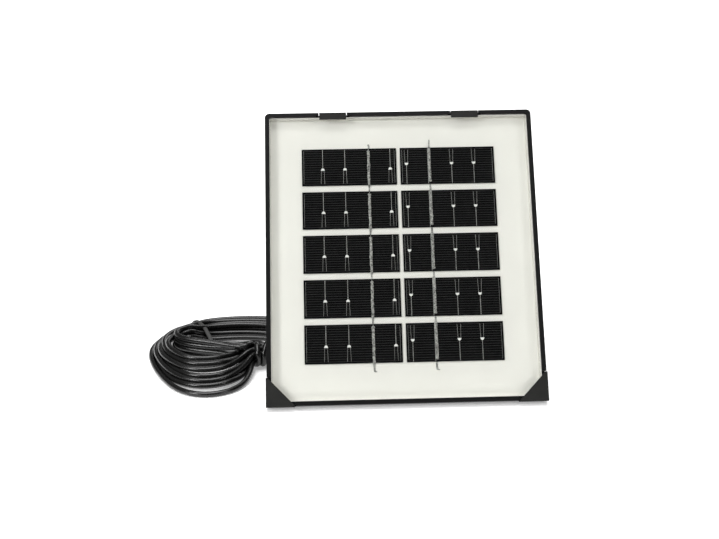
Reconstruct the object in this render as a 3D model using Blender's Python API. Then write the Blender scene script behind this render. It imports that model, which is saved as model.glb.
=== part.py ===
"""Solar fountain pump: a small framed solar panel on a tilt stand, its cable and its submersible pump.

Metres, +Z up. The panel faces -Y and leans back; the stand, the cable and the pump are behind it.
Lengths below are in millimetres and are turned into metres by the helpers.
"""
from math import cos, pi, radians, sin

import bmesh
import bpy
from mathutils import Matrix, Vector

MM = 0.001
GAP = 0.3

# Panel, in its own upright frame: x to the right, y from the front face to the back, z up the panel.
PANEL_W = 136.0
PANEL_H = 148.0
PANEL_DEPTH = 9.0
RIM = 2.2
CORNER_R = 2.2
POCKET_R = 0.8
LAMINATE_R = 0.6
LEAN = 30.0
REST_FACET = 2.6

GLASS_FRONT = 1.0
GLASS_T = 2.3
RIBBON_T = 0.25
CELL_T = 0.3
SHEET_T = 0.4
RIBBON_FRONT = GLASS_FRONT + GLASS_T + GAP
CELL_FRONT = RIBBON_FRONT + RIBBON_T + GAP
SHEET_FRONT = CELL_FRONT + CELL_T + GAP
FLOOR_FRONT = SHEET_FRONT + SHEET_T + GAP
FLOOR_T = 1.8

CELL_W = 48.2
CELL_H = 19.3
COLUMN_GAP = 1.9
ROW_PITCH = 22.6
ROWS = 5
BLOCK_X = -0.45
BLOCK_Z = PANEL_H / 2 + 1.0
RIBBON_W = 1.6
RIBBON_X = {"left": -15.6, "right": 15.5}
RIBBON_ABOVE = 2.5
RIBBON_BELOW = 4.6

CLIP_W = 13.8
CLIP_X = (-33.4, 34.0)
CLIP_REACH = 3.6
CLIP_T = 0.9
CLIP_NOTCH = 1.8
CLIP_NOTCH_TOP = 1.4
CLIP_HOOK = 2.0

CAP_LEG = 13.8
CAP_EDGE = 0.8
CAP_T = 1.0
CAP_PROUD = 0.4
CAP_DEPTH = 5.0

# Junction box, on the back of the panel.
BOX_X = -40.0
BOX_Z = 55.0
BOX_W = 40.0
BOX_H = 30.0
BOX_DEPTH = 10.0
BOX_WALL = 1.6
BOX_BACK = FLOOR_FRONT + FLOOR_T + GAP
LID_T = 1.8
LID_SCREW_R = 1.0
LID_SCREW_HEAD_R = 2.0
LID_SCREW_HEAD_T = 1.2
LID_SCREW_INSET = 2.2
LID_POST_R = 3.0
BOX_CORNER_R = 2.5
BOX_INNER_R = 1.2
BOARD_W = 24.0
BOARD_H = 12.0
BOARD_T = 1.2
BOARD_ABOVE = 4.0
BOARD_POST_X = 9.0
BOARD_POST_R = 1.5
DIODE_R = 1.35
DIODE_L = 5.2
DIODE_UP = 2.0
GLAND_R = 3.0
GLAND_COLLAR_R = 4.6
GLAND_TIP_R = 2.3
GLAND_Y = BOX_BACK + 5.9
GLAND_END_Z = 25.0

# Tilt stand.
HINGE_Z = 95.0
HINGE_BEHIND = 12.0
BRACKET_W = 34.0
BRACKET_H = 26.0
BRACKET_T = 2.4
EAR_T = 3.6
EAR_R = 6.5
KNUCKLE_W = 9.0
BOLT_R = 2.0
LEG_W = 24.0
LEG_T = 4.0
LEG_ANGLE = 34.0
KNOB_R = 8.0
KNOB_T = 7.0
FLUTES = 9
FLUTE_R = 1.5
BRACKET_SCREW_R = 1.5
BRACKET_SCREW_HEAD_R = 2.7
BRACKET_SCREW_HEAD_T = 1.6
NUT_R = 4.2
NUT_T = 3.4
NECK_L = 8.0
LEG_RIB = 1.6
SHOE_WALL = 1.5
SHOE_CORNER_R = 2.0

# Cable.
CORD_R = 1.5

# Pump, standing on its suction cups; its axis lies along Y and its intake faces +Y.
PUMP_X = -40.0
PUMP_BACK = 127.0
PUMP_L = 35.0
PUMP_W = 36.0
PUMP_H = 30.0
AXIS_Z = 23.0
MOTOR_L = 24.0
WELL_R = 7.0
WELL_WALL = 1.2
WELL_BOTTOM = 10.5
CHAMBER_R = 13.0
CHAMBER_BACK = 26.0
LEDGE = 31.6
COVER_R = 15.0
SHAFT_R = 1.25
OUTLET_R = 3.0
OUTLET_Y = 29.0
SPIGOT_R = 5.0
SPIGOT_H = 8.0
CAGE_L = 12.0
CAGE_WALL = 1.5
SLOT_W = 1.6
SLIDER_TRAVEL = 8.0
NECK_H = 2.0
CUP_R = 6.5
CUP_INSET = 6.5
CUP_SOCKET_R = 2.0
BODY_CORNER_R = 4.0
BAY_WALL = 2.5
BOSS_BELOW = 6.0
BOSS_L = 9.0
BOSS_R = 5.0
CORE_LEG_W = 4.8
CORE_BRIDGE = 4.0
CORE_BACK = 3.4
CORE_FRONT = 21.5
CORE_T = 8.0
WINDING_W = 15.0
WINDING_H = 12.4
MAGNET_R = 5.6
BUSH_REAR_R = 4.0
BUSH_FRONT_R = 2.6
WHEEL_R = 11.0
HUB_R = 4.2
BLADES = 6
BLADE_H = 3.6
INLETS = 8
INLET_R = 1.7
INLET_AT = 6.4
SEAL_R = 14.1
SEAL_D = 0.56
CAGE_SLOTS = 9
CAGE_SLOT_PITCH = 3.2
CAGE_SLOT_FROM = 3.6
CAGE_SLOT_TO = 10.5
RISER_R = 4.6
RISER_L = 16.0
NOZZLE_R = 9.2
JET_R = 0.65
JET_RINGS = ((3.2, 6), (6.0, 10))

BLACK = (0.013, 0.013, 0.014)
CHARCOAL = (0.030, 0.031, 0.030)


def clear_scene():
    for thing in list(bpy.data.objects):
        bpy.data.objects.remove(thing)


def material(name, colour, roughness, metallic=0.0):
    found = bpy.data.materials.get(name)
    if found:
        return found
    made = bpy.data.materials.new(name)
    made.use_nodes = True
    shader = made.node_tree.nodes["Principled BSDF"]
    shader.inputs["Base Color"].default_value = (*colour, 1.0)
    shader.inputs["Roughness"].default_value = roughness
    shader.inputs["Metallic"].default_value = metallic
    return made


def panel_matrix():
    """The panel's frame in the world: tilted back, with the flat on its lower back edge at the origin."""
    lean = radians(LEAN)
    lift = (PANEL_DEPTH - REST_FACET) * sin(lean)
    facet_middle = (PANEL_DEPTH - REST_FACET) * cos(lean) + REST_FACET / cos(lean) / 2
    return Matrix.Translation((0.0, -facet_middle * MM, lift * MM)) @ Matrix.Rotation(-lean, 4, "X")


def finish(bm, name, look, matrix=None, smooth=True, origin=(0.0, 0.0, 0.0)):
    """Make one object from a mesh in millimetres, with its origin at a chosen point of that frame."""
    bmesh.ops.remove_doubles(bm, verts=bm.verts, dist=1e-5)
    bmesh.ops.recalc_face_normals(bm, faces=bm.faces)
    shift = Vector(origin)
    for vertex in bm.verts:
        vertex.co = (vertex.co - shift) * MM
    for face in bm.faces:
        face.smooth = smooth
    mesh = bpy.data.meshes.new(name)
    bm.to_mesh(mesh)
    bm.free()
    thing = bpy.data.objects.new(name, mesh)
    bpy.context.scene.collection.objects.link(thing)
    thing.matrix_world = (matrix or Matrix()) @ Matrix.Translation(shift * MM)
    if look:
        mesh.materials.append(look)
    if smooth:
        mesh.set_sharp_from_angle(angle=radians(35))
    return thing


def prism(bm, points, depth, matrix=None):
    """Extrude a closed outline in XY along +Z by depth, then place it with a matrix."""
    bottom = [bm.verts.new((x, y, 0.0)) for x, y in points]
    face = bm.faces.new(bottom)
    made = bmesh.ops.extrude_face_region(bm, geom=[face])
    top = [item for item in made["geom"] if isinstance(item, bmesh.types.BMVert)]
    for vertex in top:
        vertex.co.z += depth
    if matrix:
        for vertex in bottom + top:
            vertex.co = matrix @ vertex.co


def box(low, high):
    bm = bmesh.new()
    points = [(low[0], low[1]), (high[0], low[1]), (high[0], high[1]), (low[0], high[1])]
    prism(bm, points, high[2] - low[2], Matrix.Translation((0, 0, low[2])))
    return bm


def rounded_rectangle(width, height, radius, steps=5, centre=(0.0, 0.0)):
    points = []
    for quarter in range(4):
        sx = 1 if quarter in (0, 3) else -1
        sy = 1 if quarter in (0, 1) else -1
        for step in range(steps + 1):
            angle = quarter * pi / 2 + step * pi / 2 / steps
            x = centre[0] + sx * (width / 2 - radius) + radius * cos(angle)
            y = centre[1] + sy * (height / 2 - radius) + radius * sin(angle)
            points.append((x, y))
    return points


def upright(points, y_from, y_to):
    """A prism whose outline is given as x, z and which runs from y_from to y_to."""
    bm = bmesh.new()
    stand_up = Matrix(((1, 0, 0, 0), (0, 0, 1, y_from), (0, 1, 0, 0), (0, 0, 0, 1)))
    prism(bm, points, y_to - y_from, stand_up)
    return bm


def turned(profile, steps, centre=(0.0, 0.0, 0.0), axis="Z", closed_ring=False):
    """Spin a radius, height outline about an axis. A ring's outline is closed on itself."""
    bm = bmesh.new()
    rings = []
    for radius, height in profile:
        if radius < 1e-6:
            rings.append([bm.verts.new((0.0, 0.0, height))])
            continue
        ring = []
        for step in range(steps):
            angle = 2 * pi * step / steps
            ring.append(bm.verts.new((radius * cos(angle), radius * sin(angle), height)))
        rings.append(ring)
    pairs = list(zip(rings, rings[1:]))
    if closed_ring:
        pairs.append((rings[-1], rings[0]))
    for lower, upper in pairs:
        for step in range(steps):
            after = (step + 1) % steps
            if len(lower) == 1:
                bm.faces.new((lower[0], upper[after], upper[step]))
            elif len(upper) == 1:
                bm.faces.new((lower[step], lower[after], upper[0]))
            else:
                bm.faces.new((lower[step], lower[after], upper[after], upper[step]))
    turn = {"Z": Matrix(), "Y": Matrix.Rotation(-pi / 2, 4, "X"), "X": Matrix.Rotation(pi / 2, 4, "Y")}
    bmesh.ops.transform(bm, matrix=Matrix.Translation(centre) @ turn[axis], verts=bm.verts)
    return bm


def rod(radius, start, end, centre, axis="Z", steps=24, chamfer=0.0):
    profile = [(0.0, start), (radius - chamfer, start)]
    if chamfer:
        profile += [(radius, start + chamfer), (radius, end - chamfer)]
    profile += [(radius - chamfer, end), (0.0, end)]
    return turned(profile, steps, centre, axis)


def ring(inner, outer, start, end, centre, axis="Z", steps=24):
    profile = [(inner, start), (outer, start), (outer, end), (inner, end)]
    return turned(profile, steps, centre, axis, closed_ring=True)


def merge(*meshes):
    """Put several closed meshes into one so that a single Boolean cutter holds them all."""
    whole = bmesh.new()
    for bm in meshes:
        part = bpy.data.meshes.new("piece")
        bmesh.ops.recalc_face_normals(bm, faces=bm.faces)
        bm.to_mesh(part)
        bm.free()
        whole.from_mesh(part)
        bpy.data.meshes.remove(part)
    return whole


def boolean(thing, cutter_mesh, name, operation="DIFFERENCE", matrix=None):
    cutter = finish(cutter_mesh, name, None, matrix, smooth=False)
    cutter.hide_render = True
    cutter.display_type = "WIRE"
    step = thing.modifiers.new(name, "BOOLEAN")
    step.operation = operation
    step.solver = "EXACT"
    step.object = cutter


def soften(thing, width, segments=2):
    step = thing.modifiers.new("edges", "BEVEL")
    step.width = width * MM
    step.segments = segments
    step.limit_method = "ANGLE"
    step.angle_limit = radians(40)
    return step


def child_of(thing, parent):
    kept = thing.matrix_world.copy()
    thing.parent = parent
    thing.matrix_parent_inverse = parent.matrix_world.inverted()
    thing.matrix_world = kept


def make_frame(panel):
    look = material("frame_black", BLACK, 0.38)
    outline = rounded_rectangle(PANEL_W, PANEL_H, CORNER_R, centre=(0.0, PANEL_H / 2))
    frame = finish(upright(outline, 0.0, PANEL_DEPTH), "panel_frame", look, panel)
    inner_w = PANEL_W - 2 * RIM
    inner_h = PANEL_H - 2 * RIM
    inner = rounded_rectangle(inner_w, inner_h, POCKET_R, 2, centre=(0.0, PANEL_H / 2))
    boolean(frame, upright(inner, -1.0, FLOOR_FRONT), "cut_front_pocket", matrix=panel)
    back = FLOOR_FRONT + FLOOR_T
    boolean(frame, upright(inner, back, PANEL_DEPTH + 1.0), "cut_back_pocket", matrix=panel)
    boolean(frame, box((-PANEL_W, -15.0, -20.0), (PANEL_W, 30.0, 0.0)), "cut_rest_facet")
    for index, x in enumerate(CLIP_X):
        half = CLIP_W / 2 + GAP
        top_seat = box((x - half, -1.0, PANEL_H - CLIP_T - GAP), (x + half, PANEL_DEPTH + 1, PANEL_H + 1))
        boolean(frame, top_seat, f"cut_clip_top_{index}", matrix=panel)
        wide = CLIP_W / 2 + CLIP_NOTCH
        seat_top = PANEL_H - CLIP_NOTCH_TOP
        front_seat = box((x - wide, -1.0, PANEL_H - RIM - 1), (x + wide, GLASS_FRONT, seat_top))
        boolean(frame, front_seat, f"cut_clip_notch_{index}", matrix=panel)
        lip_seat = box((x - half, -1.0, PANEL_H - RIM - 1), (x + half, GLASS_FRONT, PANEL_H + 1))
        boolean(frame, lip_seat, f"cut_clip_lip_{index}", matrix=panel)
    recess = CAP_T + GAP - CAP_PROUD
    for side in (-1, 1):
        edge = side * PANEL_W / 2
        low_x, high_x = sorted((edge + side, edge - side * recess))
        beside = box((low_x, -1.0, -1.0), (high_x, CAP_DEPTH + GAP, CAP_LEG + GAP))
        boolean(frame, beside, f"cut_cap_side_{side}", matrix=panel)
        low_x, high_x = sorted((edge + side, edge - side * (CAP_LEG + GAP)))
        below = box((low_x, -1.0, -1.0), (high_x, CAP_DEPTH + GAP, recess))
        boolean(frame, below, f"cut_cap_below_{side}", matrix=panel)
        in_front = box((low_x, -1.0, -1.0), (high_x, recess, CAP_LEG + GAP))
        boolean(frame, in_front, f"cut_cap_front_{side}", matrix=panel)
    return frame


def make_laminate(panel):
    wide = PANEL_W - 2 * RIM - 2 * GAP
    high = PANEL_H - 2 * RIM - 2 * GAP
    outline = rounded_rectangle(wide, high, LAMINATE_R, 2, centre=(0.0, PANEL_H / 2))
    glass_look = material("front_glass", (0.75, 0.8, 0.8), 0.08)
    finish(upright(outline, GLASS_FRONT, GLASS_FRONT + GLASS_T), "front_glass", glass_look, panel, False)
    sheet_look = material("backsheet_white", (0.82, 0.82, 0.79), 0.45)
    finish(upright(outline, SHEET_FRONT, SHEET_FRONT + SHEET_T), "backsheet", sheet_look, panel, False)

    cell_look = material("silicon", (0.012, 0.012, 0.016), 0.3)
    ribbon_look = material("tinned_copper", (0.6, 0.6, 0.58), 0.35, 1.0)
    block_h = (ROWS - 1) * ROW_PITCH + CELL_H
    top = BLOCK_Z + block_h / 2
    for side, word in ((-1, "left"), (1, "right")):
        low_x = BLOCK_X + (COLUMN_GAP / 2 if side > 0 else -COLUMN_GAP / 2 - CELL_W)
        for row in range(ROWS):
            high_z = top - row * ROW_PITCH
            cell = box((low_x, CELL_FRONT, high_z - CELL_H), (low_x + CELL_W, CELL_FRONT + CELL_T, high_z))
            finish(cell, f"cell_{row + 1}_{word}", cell_look, panel, False)
        x = RIBBON_X[word]
        low = (x - RIBBON_W / 2, RIBBON_FRONT, top - block_h - RIBBON_BELOW)
        high = (x + RIBBON_W / 2, RIBBON_FRONT + RIBBON_T, top + RIBBON_ABOVE)
        finish(box(low, high), f"bus_ribbon_{word}", ribbon_look, panel, False)


def make_clips(panel):
    """J-shaped clips: a lip over the glass, a bridge over the rim and a hook behind it."""
    look = material("clip_charcoal", CHARCOAL, 0.6)
    for x, word in zip(CLIP_X, ("left", "right")):
        lip_back = GLASS_FRONT - GAP
        hook_front = PANEL_DEPTH + GAP
        top = PANEL_H
        section = [
            (lip_back - CLIP_T, top - CLIP_REACH),
            (lip_back, top - CLIP_REACH),
            (lip_back, top - CLIP_T),
            (hook_front, top - CLIP_T),
            (hook_front, top - CLIP_HOOK),
            (hook_front + CLIP_T, top - CLIP_HOOK),
            (hook_front + CLIP_T, top),
            (lip_back - CLIP_T, top),
        ]
        bm = bmesh.new()
        along_x = Matrix(((0, 0, 1, x - CLIP_W / 2), (1, 0, 0, 0), (0, 1, 0, 0), (0, 0, 0, 1)))
        prism(bm, section, CLIP_W, along_x)
        clip = finish(bm, f"retaining_clip_{word}", look, panel)
        soften(clip, 0.2)


def make_corner_caps(panel):
    """A triangular web over the glass with a short skirt round the outside of the corner."""
    look = material("clip_charcoal", CHARCOAL, 0.6)
    front = -CAP_PROUD
    back = CAP_T - CAP_PROUD
    for side, word in ((-1, "left"), (1, "right")):
        edge = PANEL_W / 2 + CAP_PROUD
        low = -CAP_PROUD
        outline = [
            (edge, low),
            (edge, CAP_LEG),
            (edge - CAP_EDGE, CAP_LEG),
            (edge - CAP_LEG, low + CAP_EDGE),
            (edge - CAP_LEG, low),
        ]
        web = upright([(side * x, z) for x, z in outline], front, back)
        cap = finish(web, f"corner_cap_{word}", look, panel)
        low_x, high_x = sorted((side * edge, side * (edge - CAP_T)))
        beside = box((low_x, back - 0.5, low), (high_x, CAP_DEPTH, CAP_LEG))
        boolean(cap, beside, f"add_cap_side_{side}", "UNION", panel)
        low_x, high_x = sorted((side * edge, side * (edge - CAP_LEG)))
        below = box((low_x, back - 0.5, low), (high_x, CAP_DEPTH, low + CAP_T))
        boolean(cap, below, f"add_cap_below_{side}", "UNION", panel)


def screw(name, look, radius, head_r, head_t, tip, head, centre, panel, chamfer=0.2):
    """A pan-head screw along Y: its shank runs from tip to head, and its head is behind that."""
    profile = [
        (0.0, tip),
        (radius, tip),
        (radius, head),
        (head_r, head),
        (head_r, head + head_t - chamfer),
        (head_r - chamfer, head + head_t),
        (0.0, head + head_t),
    ]
    return finish(turned(profile, 20, centre, "Y"), name, look, panel)


def make_junction_box(panel):
    look = material("box_black", BLACK, 0.5)
    steel = material("screw_steel", (0.55, 0.55, 0.54), 0.3, 1.0)
    floor = BOX_BACK + BOX_WALL
    rim_y = BOX_BACK + BOX_DEPTH
    outline = rounded_rectangle(BOX_W, BOX_H, BOX_CORNER_R, 4, (BOX_X, BOX_Z))
    shell = finish(upright(outline, BOX_BACK, rim_y), "junction_box", look, panel)
    inner = rounded_rectangle(BOX_W - 2 * BOX_WALL, BOX_H - 2 * BOX_WALL, BOX_INNER_R, 3, (BOX_X, BOX_Z))
    boolean(shell, upright(inner, floor, rim_y + 1), "cut_box_inside", matrix=panel)

    corner_x = BOX_W / 2 - BOX_WALL - LID_SCREW_INSET
    corner_z = BOX_H / 2 - BOX_WALL - LID_SCREW_INSET
    screw_spots = (
        (BOX_X - corner_x, BOX_Z + corner_z, "upper"),
        (BOX_X + corner_x, BOX_Z - corner_z, "lower"),
    )
    for x, z, word in screw_spots:
        post = rod(LID_POST_R, floor - 0.5, rim_y - 0.6, (x, 0, z), "Y")
        boolean(shell, post, f"add_lid_post_{word}", "UNION", panel)
        bore = rod(LID_SCREW_R + GAP, floor + 1.0, rim_y + 1, (x, 0, z), "Y", 16)
        boolean(shell, bore, f"cut_lid_post_{word}", matrix=panel)
    board_back = BOX_BACK + BOARD_ABOVE
    for x in (BOX_X - BOARD_POST_X, BOX_X + BOARD_POST_X):
        post = rod(BOARD_POST_R, floor - 0.5, board_back - GAP, (x, 0, BOX_Z), "Y", 12)
        boolean(shell, post, f"add_board_post_{x:.0f}", "UNION", panel)
    gland_hole = rod(GLAND_R + GAP, BOX_Z - BOX_H / 2 - 1, BOX_Z - BOX_H / 2 + 2.6, (BOX_X, GLAND_Y, 0))
    boolean(shell, gland_hole, "cut_gland_hole", matrix=panel)

    lid_front = rim_y + GAP
    lid = finish(upright(outline, lid_front, lid_front + LID_T), "junction_lid", look, panel)
    for x, z, word in screw_spots:
        hole = rod(LID_SCREW_R + GAP, rim_y, lid_front + LID_T + 1, (x, 0, z), "Y", 16)
        boolean(lid, hole, f"cut_lid_hole_{word}", matrix=panel)
        screw(f"lid_screw_{word}", steel, LID_SCREW_R, LID_SCREW_HEAD_R, LID_SCREW_HEAD_T, rim_y - 6.0,
              lid_front + LID_T + GAP, (x, 0, z), panel)

    board_outline = rounded_rectangle(BOARD_W, BOARD_H, 1.0, 2, (BOX_X, BOX_Z))
    board = upright(board_outline, board_back, board_back + BOARD_T)
    finish(board, "junction_board", material("board_green", (0.02, 0.10, 0.04), 0.4), panel)
    diode_y = board_back + BOARD_T + GAP + DIODE_R
    diode = rod(DIODE_R, -DIODE_L / 2, DIODE_L / 2, (BOX_X, diode_y, BOX_Z + DIODE_UP), "X", 20, 0.2)
    finish(diode, "blocking_diode", material("diode_black", (0.01, 0.01, 0.01), 0.35), panel)

    wall_low = BOX_Z - BOX_H / 2
    profile = [
        (0.0, GLAND_END_Z),
        (GLAND_TIP_R, GLAND_END_Z),
        (GLAND_R + 0.6, wall_low - 1.8),
        (GLAND_COLLAR_R, wall_low - 1.8),
        (GLAND_COLLAR_R, wall_low - GAP),
        (GLAND_R, wall_low - GAP),
        (GLAND_R, wall_low + BOX_WALL + GAP),
        (GLAND_R + 0.9, wall_low + BOX_WALL + GAP),
        (GLAND_R + 0.9, wall_low + BOX_WALL + 1.5),
        (0.0, wall_low + BOX_WALL + 1.5),
    ]
    gland = turned(profile, 24, (BOX_X, GLAND_Y, 0))
    finish(gland, "cable_gland", material("gland_rubber", (0.02, 0.02, 0.02), 0.7), panel)


def capsule_outline(radius, length, steps=10):
    """A round-ended plate seen from the side: a half circle at the origin, square at the far end."""
    points = []
    for step in range(steps + 1):
        angle = -pi / 2 + pi * step / steps
        points.append((radius * cos(angle), radius * sin(angle)))
    points.append((-length, radius))
    points.append((-length, -radius))
    return points


def make_stand(panel):
    look = material("stand_black", BLACK, 0.48)
    steel = material("screw_steel", (0.55, 0.55, 0.54), 0.3, 1.0)
    back = FLOOR_FRONT + FLOOR_T + GAP
    hinge_y = back + HINGE_BEHIND
    plate_outline = rounded_rectangle(BRACKET_W, BRACKET_H, 3.0, 4, (0.0, HINGE_Z))
    bracket = finish(upright(plate_outline, back, back + BRACKET_T), "hinge_bracket", look, panel)
    ear_inner = KNUCKLE_W / 2 + GAP
    for side in (-1, 1):
        low_x = ear_inner if side > 0 else -ear_inner - EAR_T
        bm = bmesh.new()
        along_x = Matrix(((0, 0, 1, low_x), (1, 0, 0, hinge_y), (0, 1, 0, HINGE_Z), (0, 0, 0, 1)))
        prism(bm, capsule_outline(EAR_R, HINGE_BEHIND - BRACKET_T / 2), EAR_T, along_x)
        boolean(bracket, bm, f"add_ear_{side}", "UNION", panel)
    bolt_bore = rod(BOLT_R + GAP, -20.0, 20.0, (0, hinge_y, HINGE_Z), "X", 20)
    boolean(bracket, bolt_bore, "cut_bolt_bore", matrix=panel)
    for side, word in ((-1, "left"), (1, "right")):
        x = side * (BRACKET_W / 2 - 4.0)
        screw_z = HINGE_Z + BRACKET_H / 2 - 4.5
        hole = rod(BRACKET_SCREW_R + GAP, back - 1, back + BRACKET_T + 1, (x, 0, screw_z), "Y", 16)
        boolean(bracket, hole, f"cut_bracket_hole_{word}", matrix=panel)
        screw(f"bracket_screw_{word}", steel, BRACKET_SCREW_R, BRACKET_SCREW_HEAD_R,
              BRACKET_SCREW_HEAD_T, back + 0.1, back + BRACKET_T + GAP, (x, 0, screw_z), panel)

    # The clamp: a thumb screw from the right, its nut held against the left ear.
    outer = ear_inner + EAR_T + GAP
    knob_end = outer + KNOB_T
    knob = [
        (0.0, -outer - 5.0),
        (BOLT_R, -outer - 5.0),
        (BOLT_R, outer),
        (KNOB_R * 0.6, outer),
        (KNOB_R, outer + 1.2),
        (KNOB_R, knob_end - 1.0),
        (KNOB_R - 1.0, knob_end),
        (0.0, knob_end),
    ]
    centre = (0.0, hinge_y, HINGE_Z)
    thumb = finish(turned(knob, 36, centre, "X"), "thumb_screw", look, panel, origin=centre)
    flutes = []
    flute_at = KNOB_R + 0.7
    for index in range(FLUTES):
        angle = 2 * pi * index / FLUTES
        spot = (0.0, hinge_y + flute_at * cos(angle), HINGE_Z + flute_at * sin(angle))
        flutes.append(rod(FLUTE_R, outer - 1, knob_end + 1, spot, "X", 12))
    boolean(thumb, merge(*flutes), "cut_knob_flutes", matrix=panel)
    nut = finish(rod(NUT_R, -outer - NUT_T, -outer, centre, "X", 6), "clamp_nut", steel, panel, smooth=False)
    boolean(nut, rod(BOLT_R + GAP, -outer - 5, -outer + 1, centre, "X", 20), "cut_nut_bore", matrix=panel)

    # The leg is drawn hanging straight down from the hinge, then swung back to its resting angle.
    pivot = panel @ (Vector(centre) * MM)
    hinge_height = pivot.z / MM
    reach = hinge_height / cos(radians(LEG_ANGLE))
    swing = Matrix.Translation(pivot) @ Matrix.Rotation(radians(LEG_ANGLE), 4, "X")
    shoulder = EAR_R + 4.0
    foot = reach - 6.0
    half = LEG_W / 2
    neck = KNUCKLE_W / 2 - 0.4
    face = [
        (-neck, -1.0),
        (-neck, -shoulder),
        (-half, -shoulder - NECK_L),
        (-half, -foot),
        (half, -foot),
        (half, -shoulder - NECK_L),
        (neck, -shoulder),
        (neck, -1.0),
    ]
    leg = finish(upright(face, -LEG_T / 2, LEG_T / 2), "prop_leg", look, swing)
    knuckle = rod(EAR_R - 0.5, -KNUCKLE_W / 2, KNUCKLE_W / 2, (0, 0, 0), "X", 28)
    boolean(leg, knuckle, "add_knuckle", "UNION", swing)
    ribs = []
    for side in (-1, 1):
        low_x = side * (half - 1.3) - 1.0
        rib_low = (low_x, -LEG_T / 2 - LEG_RIB, -foot + 0.4)
        rib_high = (low_x + 2.0, LEG_T / 2 + LEG_RIB, -shoulder - NECK_L - 2.0)
        ribs.append(box(rib_low, rib_high))
    boolean(leg, merge(*ribs), "add_leg_ribs", "UNION", swing)
    boolean(leg, rod(BOLT_R + GAP, -20.0, 20.0, (0, 0, 0), "X", 20), "cut_leg_bore", matrix=swing)

    # The foot is a rubber shoe, cut to the ground at the leg's resting angle.
    under = foot + GAP
    shoe_d = LEG_T + 2 * LEG_RIB + 2 * (GAP + SHOE_WALL) + 0.2
    shoe_outline = rounded_rectangle(LEG_W + 2 * SHOE_WALL, shoe_d, SHOE_CORNER_R, 3)
    bm = bmesh.new()
    prism(bm, shoe_outline, 16.0, Matrix.Translation((0.0, 0.0, -under - 13.0)))
    shoe = finish(bm, "foot_pad", material("pad_rubber", (0.02, 0.02, 0.02), 0.75), swing)
    pocket_y = LEG_T / 2 + LEG_RIB + GAP
    pocket = box((-half - GAP, -pocket_y, -under), (half + GAP, pocket_y, -under + 20.0))
    boolean(shoe, pocket, "cut_shoe_pocket", matrix=swing)
    ground_y = pivot.y / MM + reach * sin(radians(LEG_ANGLE))
    ground = box((-30.0, ground_y - 40.0, -30.0), (30.0, ground_y + 40.0, 0.0))
    boolean(shoe, ground, "cut_shoe_ground")
    child_of(shoe, leg)


def tube_along(name, points, radius, look, spacing=3.2):
    """A round cord along a smooth curve through hand-placed points, with capped ends."""
    smooth = smooth_route([Vector(point) for point in points], spacing)
    curve = bpy.data.curves.new(name, "CURVE")
    curve.dimensions = "3D"
    curve.bevel_depth = radius * MM
    curve.bevel_resolution = 2
    curve.use_fill_caps = True
    line = curve.splines.new("POLY")
    line.points.add(len(smooth) - 1)
    for spot, point in zip(line.points, smooth):
        spot.co = (*(point * MM), 1.0)
    curve.materials.append(look)
    thing = bpy.data.objects.new(name, curve)
    bpy.context.scene.collection.objects.link(thing)
    return thing


def smooth_route(points, spacing):
    """Catmull-Rom through the points, read at an even spacing."""
    ends = [points[0] * 2 - points[1], *points, points[-1] * 2 - points[-2]]
    fine = []
    for index in range(1, len(ends) - 2):
        before, start, end, after = ends[index - 1:index + 3]
        for step in range(20):
            t = step / 20
            fine.append(0.5 * (2 * start + (end - before) * t
                               + (2 * before - 5 * start + 4 * end - after) * t ** 2
                               + (3 * start - before - 3 * end + after) * t ** 3))
    fine.append(points[-1])
    total = sum((b - a).length for a, b in zip(fine, fine[1:]))
    count = max(4, round(total / spacing))
    route = [fine[0]]
    travelled = 0.0
    for a, b in zip(fine, fine[1:]):
        length = (b - a).length
        while len(route) < count and travelled + length >= total * len(route) / count:
            share = (total * len(route) / count - travelled) / length
            route.append(a.lerp(b, share))
        travelled += length
    route.append(fine[-1])
    return route


# Corners of the hank seen from above, in order round it: a wide left loop, a gathered waist, a right loop.
HANK_OUTLINE = (
    (-101.0, 8.5), (-84.0, 13.5), (-70.0, 31.0), (-48.0, 39.0), (-31.0, 43.0), (-22.5, 61.0),
    (-27.5, 81.0), (-46.0, 94.0), (-74.0, 102.0), (-104.0, 102.5), (-126.0, 93.0), (-136.0, 74.0),
    (-132.0, 50.0), (-117.0, 19.5),
)
HANK_TOP = 16.0
HANK_ROUNDING = 5.0
TIE_X = -113.0
TIE_FRONT_Y = 69.0
TIE_REACH = 32.0
TIE_DROP = 14.0
TIE_T = 0.8
TIE_W = 2.4


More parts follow.
